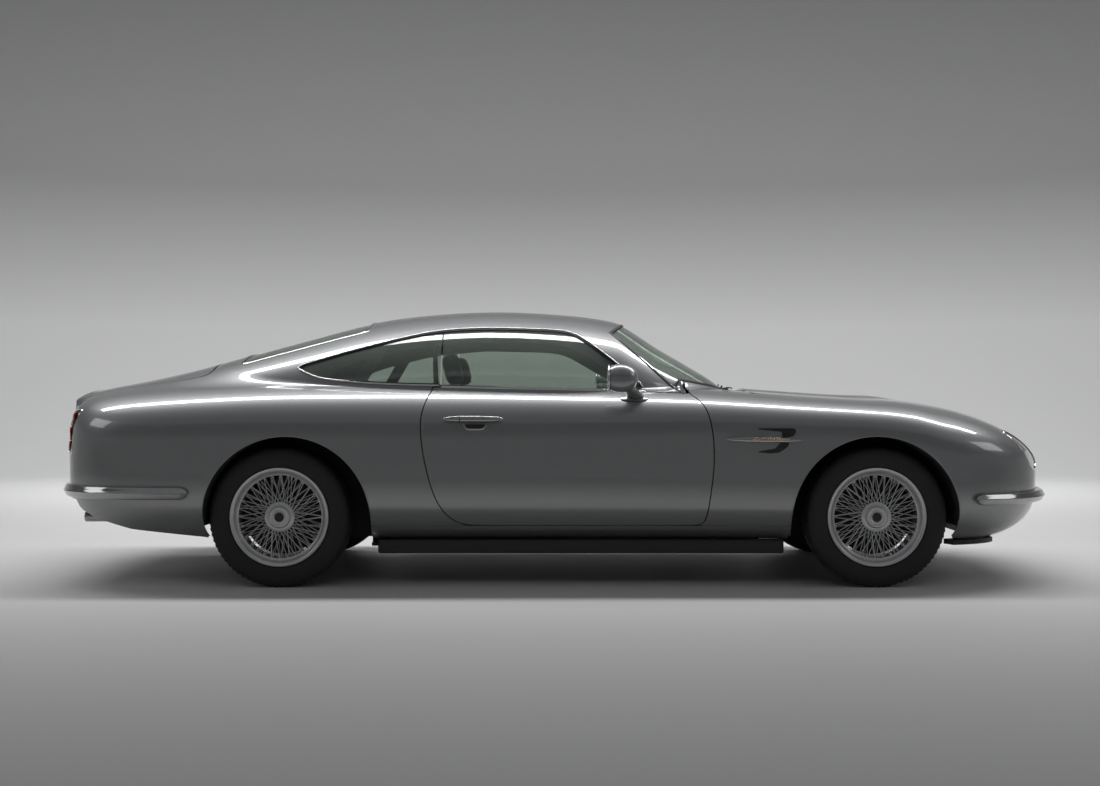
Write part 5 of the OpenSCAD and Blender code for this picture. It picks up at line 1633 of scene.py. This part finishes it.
# %% Finishes of the CAD parts
FINISHES = {"underbody": UNDERSIDE, "lower_trim": BLACK, "wheelhouses": UNDERSIDE, "engine": ALLOY,
            "dashboard": LEATHER,
            "front_subframe": UNDERSIDE, "rear_axle": UNDERSIDE, "exhaust": STEEL, "hinge_posts": UNDERSIDE,
            "bonnet_hinges": UNDERSIDE, "boot_hinges": UNDERSIDE, "door_hinges_right": UNDERSIDE,
            "door_hinges_left": UNDERSIDE, "knuckle_right": UNDERSIDE, "knuckle_left": UNDERSIDE,
            "bumpers": CHROME, "grille": CHROME, "headlamps": CLEAR, "tail_lamps": RED_LENS,
            "front_seats": LEATHER, "rear_seat": LEATHER, "steering_wheel": WOOD}
for node, shape in frame["nodes"].items():
    by_kind = ALLOY if node.startswith("wheel") else TYRE if node.startswith("tyre") else PAINT
    finish = FINISHES.get(node, by_kind)
    shape.data.materials.clear()
    shape.data.materials.append(finish)
print(len(frame["nodes"]), "CAD parts finished")

# %% [markdown]
# ## Floor, backdrop and light
# The car stands on a pale floor in a pale room. One large soft light overhead draws the bright
# line along the shoulder, and a softer one from the side fills the doors. The floor's colour also
# carries painted light: darker in front of the car, brighter behind it, and painted shade high on the wall.

# %% Studio
def studio_surface():
    """A round floor that curves up into a wall: 10 m of radius, a quarter circle of 4 m, 5 m straight up."""
    a = np.linspace(0, np.pi / 2, 16)
    profile = np.concatenate([np.column_stack([np.linspace(0, 10, 12), np.zeros(12)]),
                              np.column_stack([10 + 4 * np.sin(a[1:]), 4 - 4 * np.cos(a[1:])]),
                              np.column_stack([np.full(4, 14.0), np.linspace(5, 9, 4)])])
    turn = np.linspace(0, 2 * np.pi, 97)[:, None]
    points = np.stack([profile[:, 0] * np.cos(turn), profile[:, 0] * np.sin(turn),
                       np.broadcast_to(profile[:, 1], (97, len(profile)))], -1)
    return points.reshape(-1, 3), grid_faces(97, len(profile))


def floor_paint_with_painted_light():
    """Pale matt paint with painted light falloff: its tone rises from front to back (y in metres), and painted
    shade makes it fall high up the wall (z).
    """
    material, tree, shader = new_material("studio_floor_painted_light", (0.6, 0.6, 0.6), 0.55)
    coordinates = tree.nodes.new("ShaderNodeTexCoord")
    split = tree.nodes.new("ShaderNodeSeparateXYZ")
    tree.links.new(coordinates.outputs["Object"], split.inputs["Vector"])
    # Painted light falloff: the floor darkens towards the camera and brightens behind the car, and painted
    # shade darkens the wall high up.
    depth = spread(tree, split.outputs["Y"], 0, 1, -4.5, -0.5)
    far_front = mix_colors(tree, spread(tree, split.outputs["Y"], 0, 1, -8.5, -5.5), (0.70, 0.70, 0.70),
                           (0.26, 0.26, 0.26))
    near = mix_colors(tree, depth, far_front, (0.60, 0.60, 0.595))
    ground = mix_colors(tree, spread(tree, split.outputs["Y"], 0, 1, 1.5, 7.0), near, (0.86, 0.86, 0.86))
    wall = mix_colors(tree, spread(tree, split.outputs["Z"], 0, 1, 0.02, 1.5), ground, (0.88, 0.88, 0.88))
    upper = spread(tree, split.outputs["Z"], 0, 1, 1.8, 3.8)
    tree.links.new(mix_colors(tree, upper, wall, (0.46, 0.46, 0.46)), shader.inputs["Base Color"])
    return material


FLOOR = floor_paint_with_painted_light()
points, faces = studio_surface()
mesh = bpy.data.meshes.new("studio_floor_painted_light")
mesh.from_pydata(points.tolist(), [], faces.tolist())
mesh.polygons.foreach_set("use_smooth", np.ones(len(mesh.polygons), bool))
mesh.materials.append(FLOOR)
floor = bpy.data.objects.new("studio_floor_painted_light", mesh)
bpy.context.scene.collection.objects.link(floor)


def area_light(name, place, target, size, power, color=(1, 1, 1)):
    """A rectangular soft light at a place, turned to face a target."""
    light = bpy.data.lights.new(name, "AREA")
    light.shape = "RECTANGLE"
    light.size, light.size_y = size
    light.energy = power
    light.color = color
    lamp = bpy.data.objects.new(name, light)
    lamp.location = place
    aim = np.array(target, float) - np.array(place, float)
    lamp.rotation_euler = (math.acos(-aim[2] / np.linalg.norm(aim)), 0,
                           math.atan2(aim[1], aim[0]) - math.pi / 2)
    bpy.context.scene.collection.objects.link(lamp)
    return lamp


area_light("overhead", (0, 0.6, 4.0), (0, 0.3, 0), (9.5, 0.6), 250)
area_light("behind", (0, 5.6, 4.4), (0, 7.4, 0), (10.0, 2.6), 380).visible_glossy = False
area_light("side_fill", (0, -6.5, 5.2), (0, -1.0, 0.4), (8.0, 1.2), 25).visible_glossy = False
area_light("front_fill", (7.5, -2.0, 4.2), (1.5, 0, 0.5), (3.0, 2.0), 25)
area_light("rear_fill", (-7.5, -2.0, 4.2), (-1.5, 0, 0.5), (3.0, 2.0), 25)

world = bpy.data.worlds.new("soft_room")
world.use_nodes = True
world.node_tree.nodes["Background"].inputs["Color"].default_value = (0.62, 0.63, 0.64, 1.0)
world.node_tree.nodes["Background"].inputs["Strength"].default_value = 0.30
bpy.context.scene.world = world
bpy.context.scene.view_settings.view_transform = "Standard"
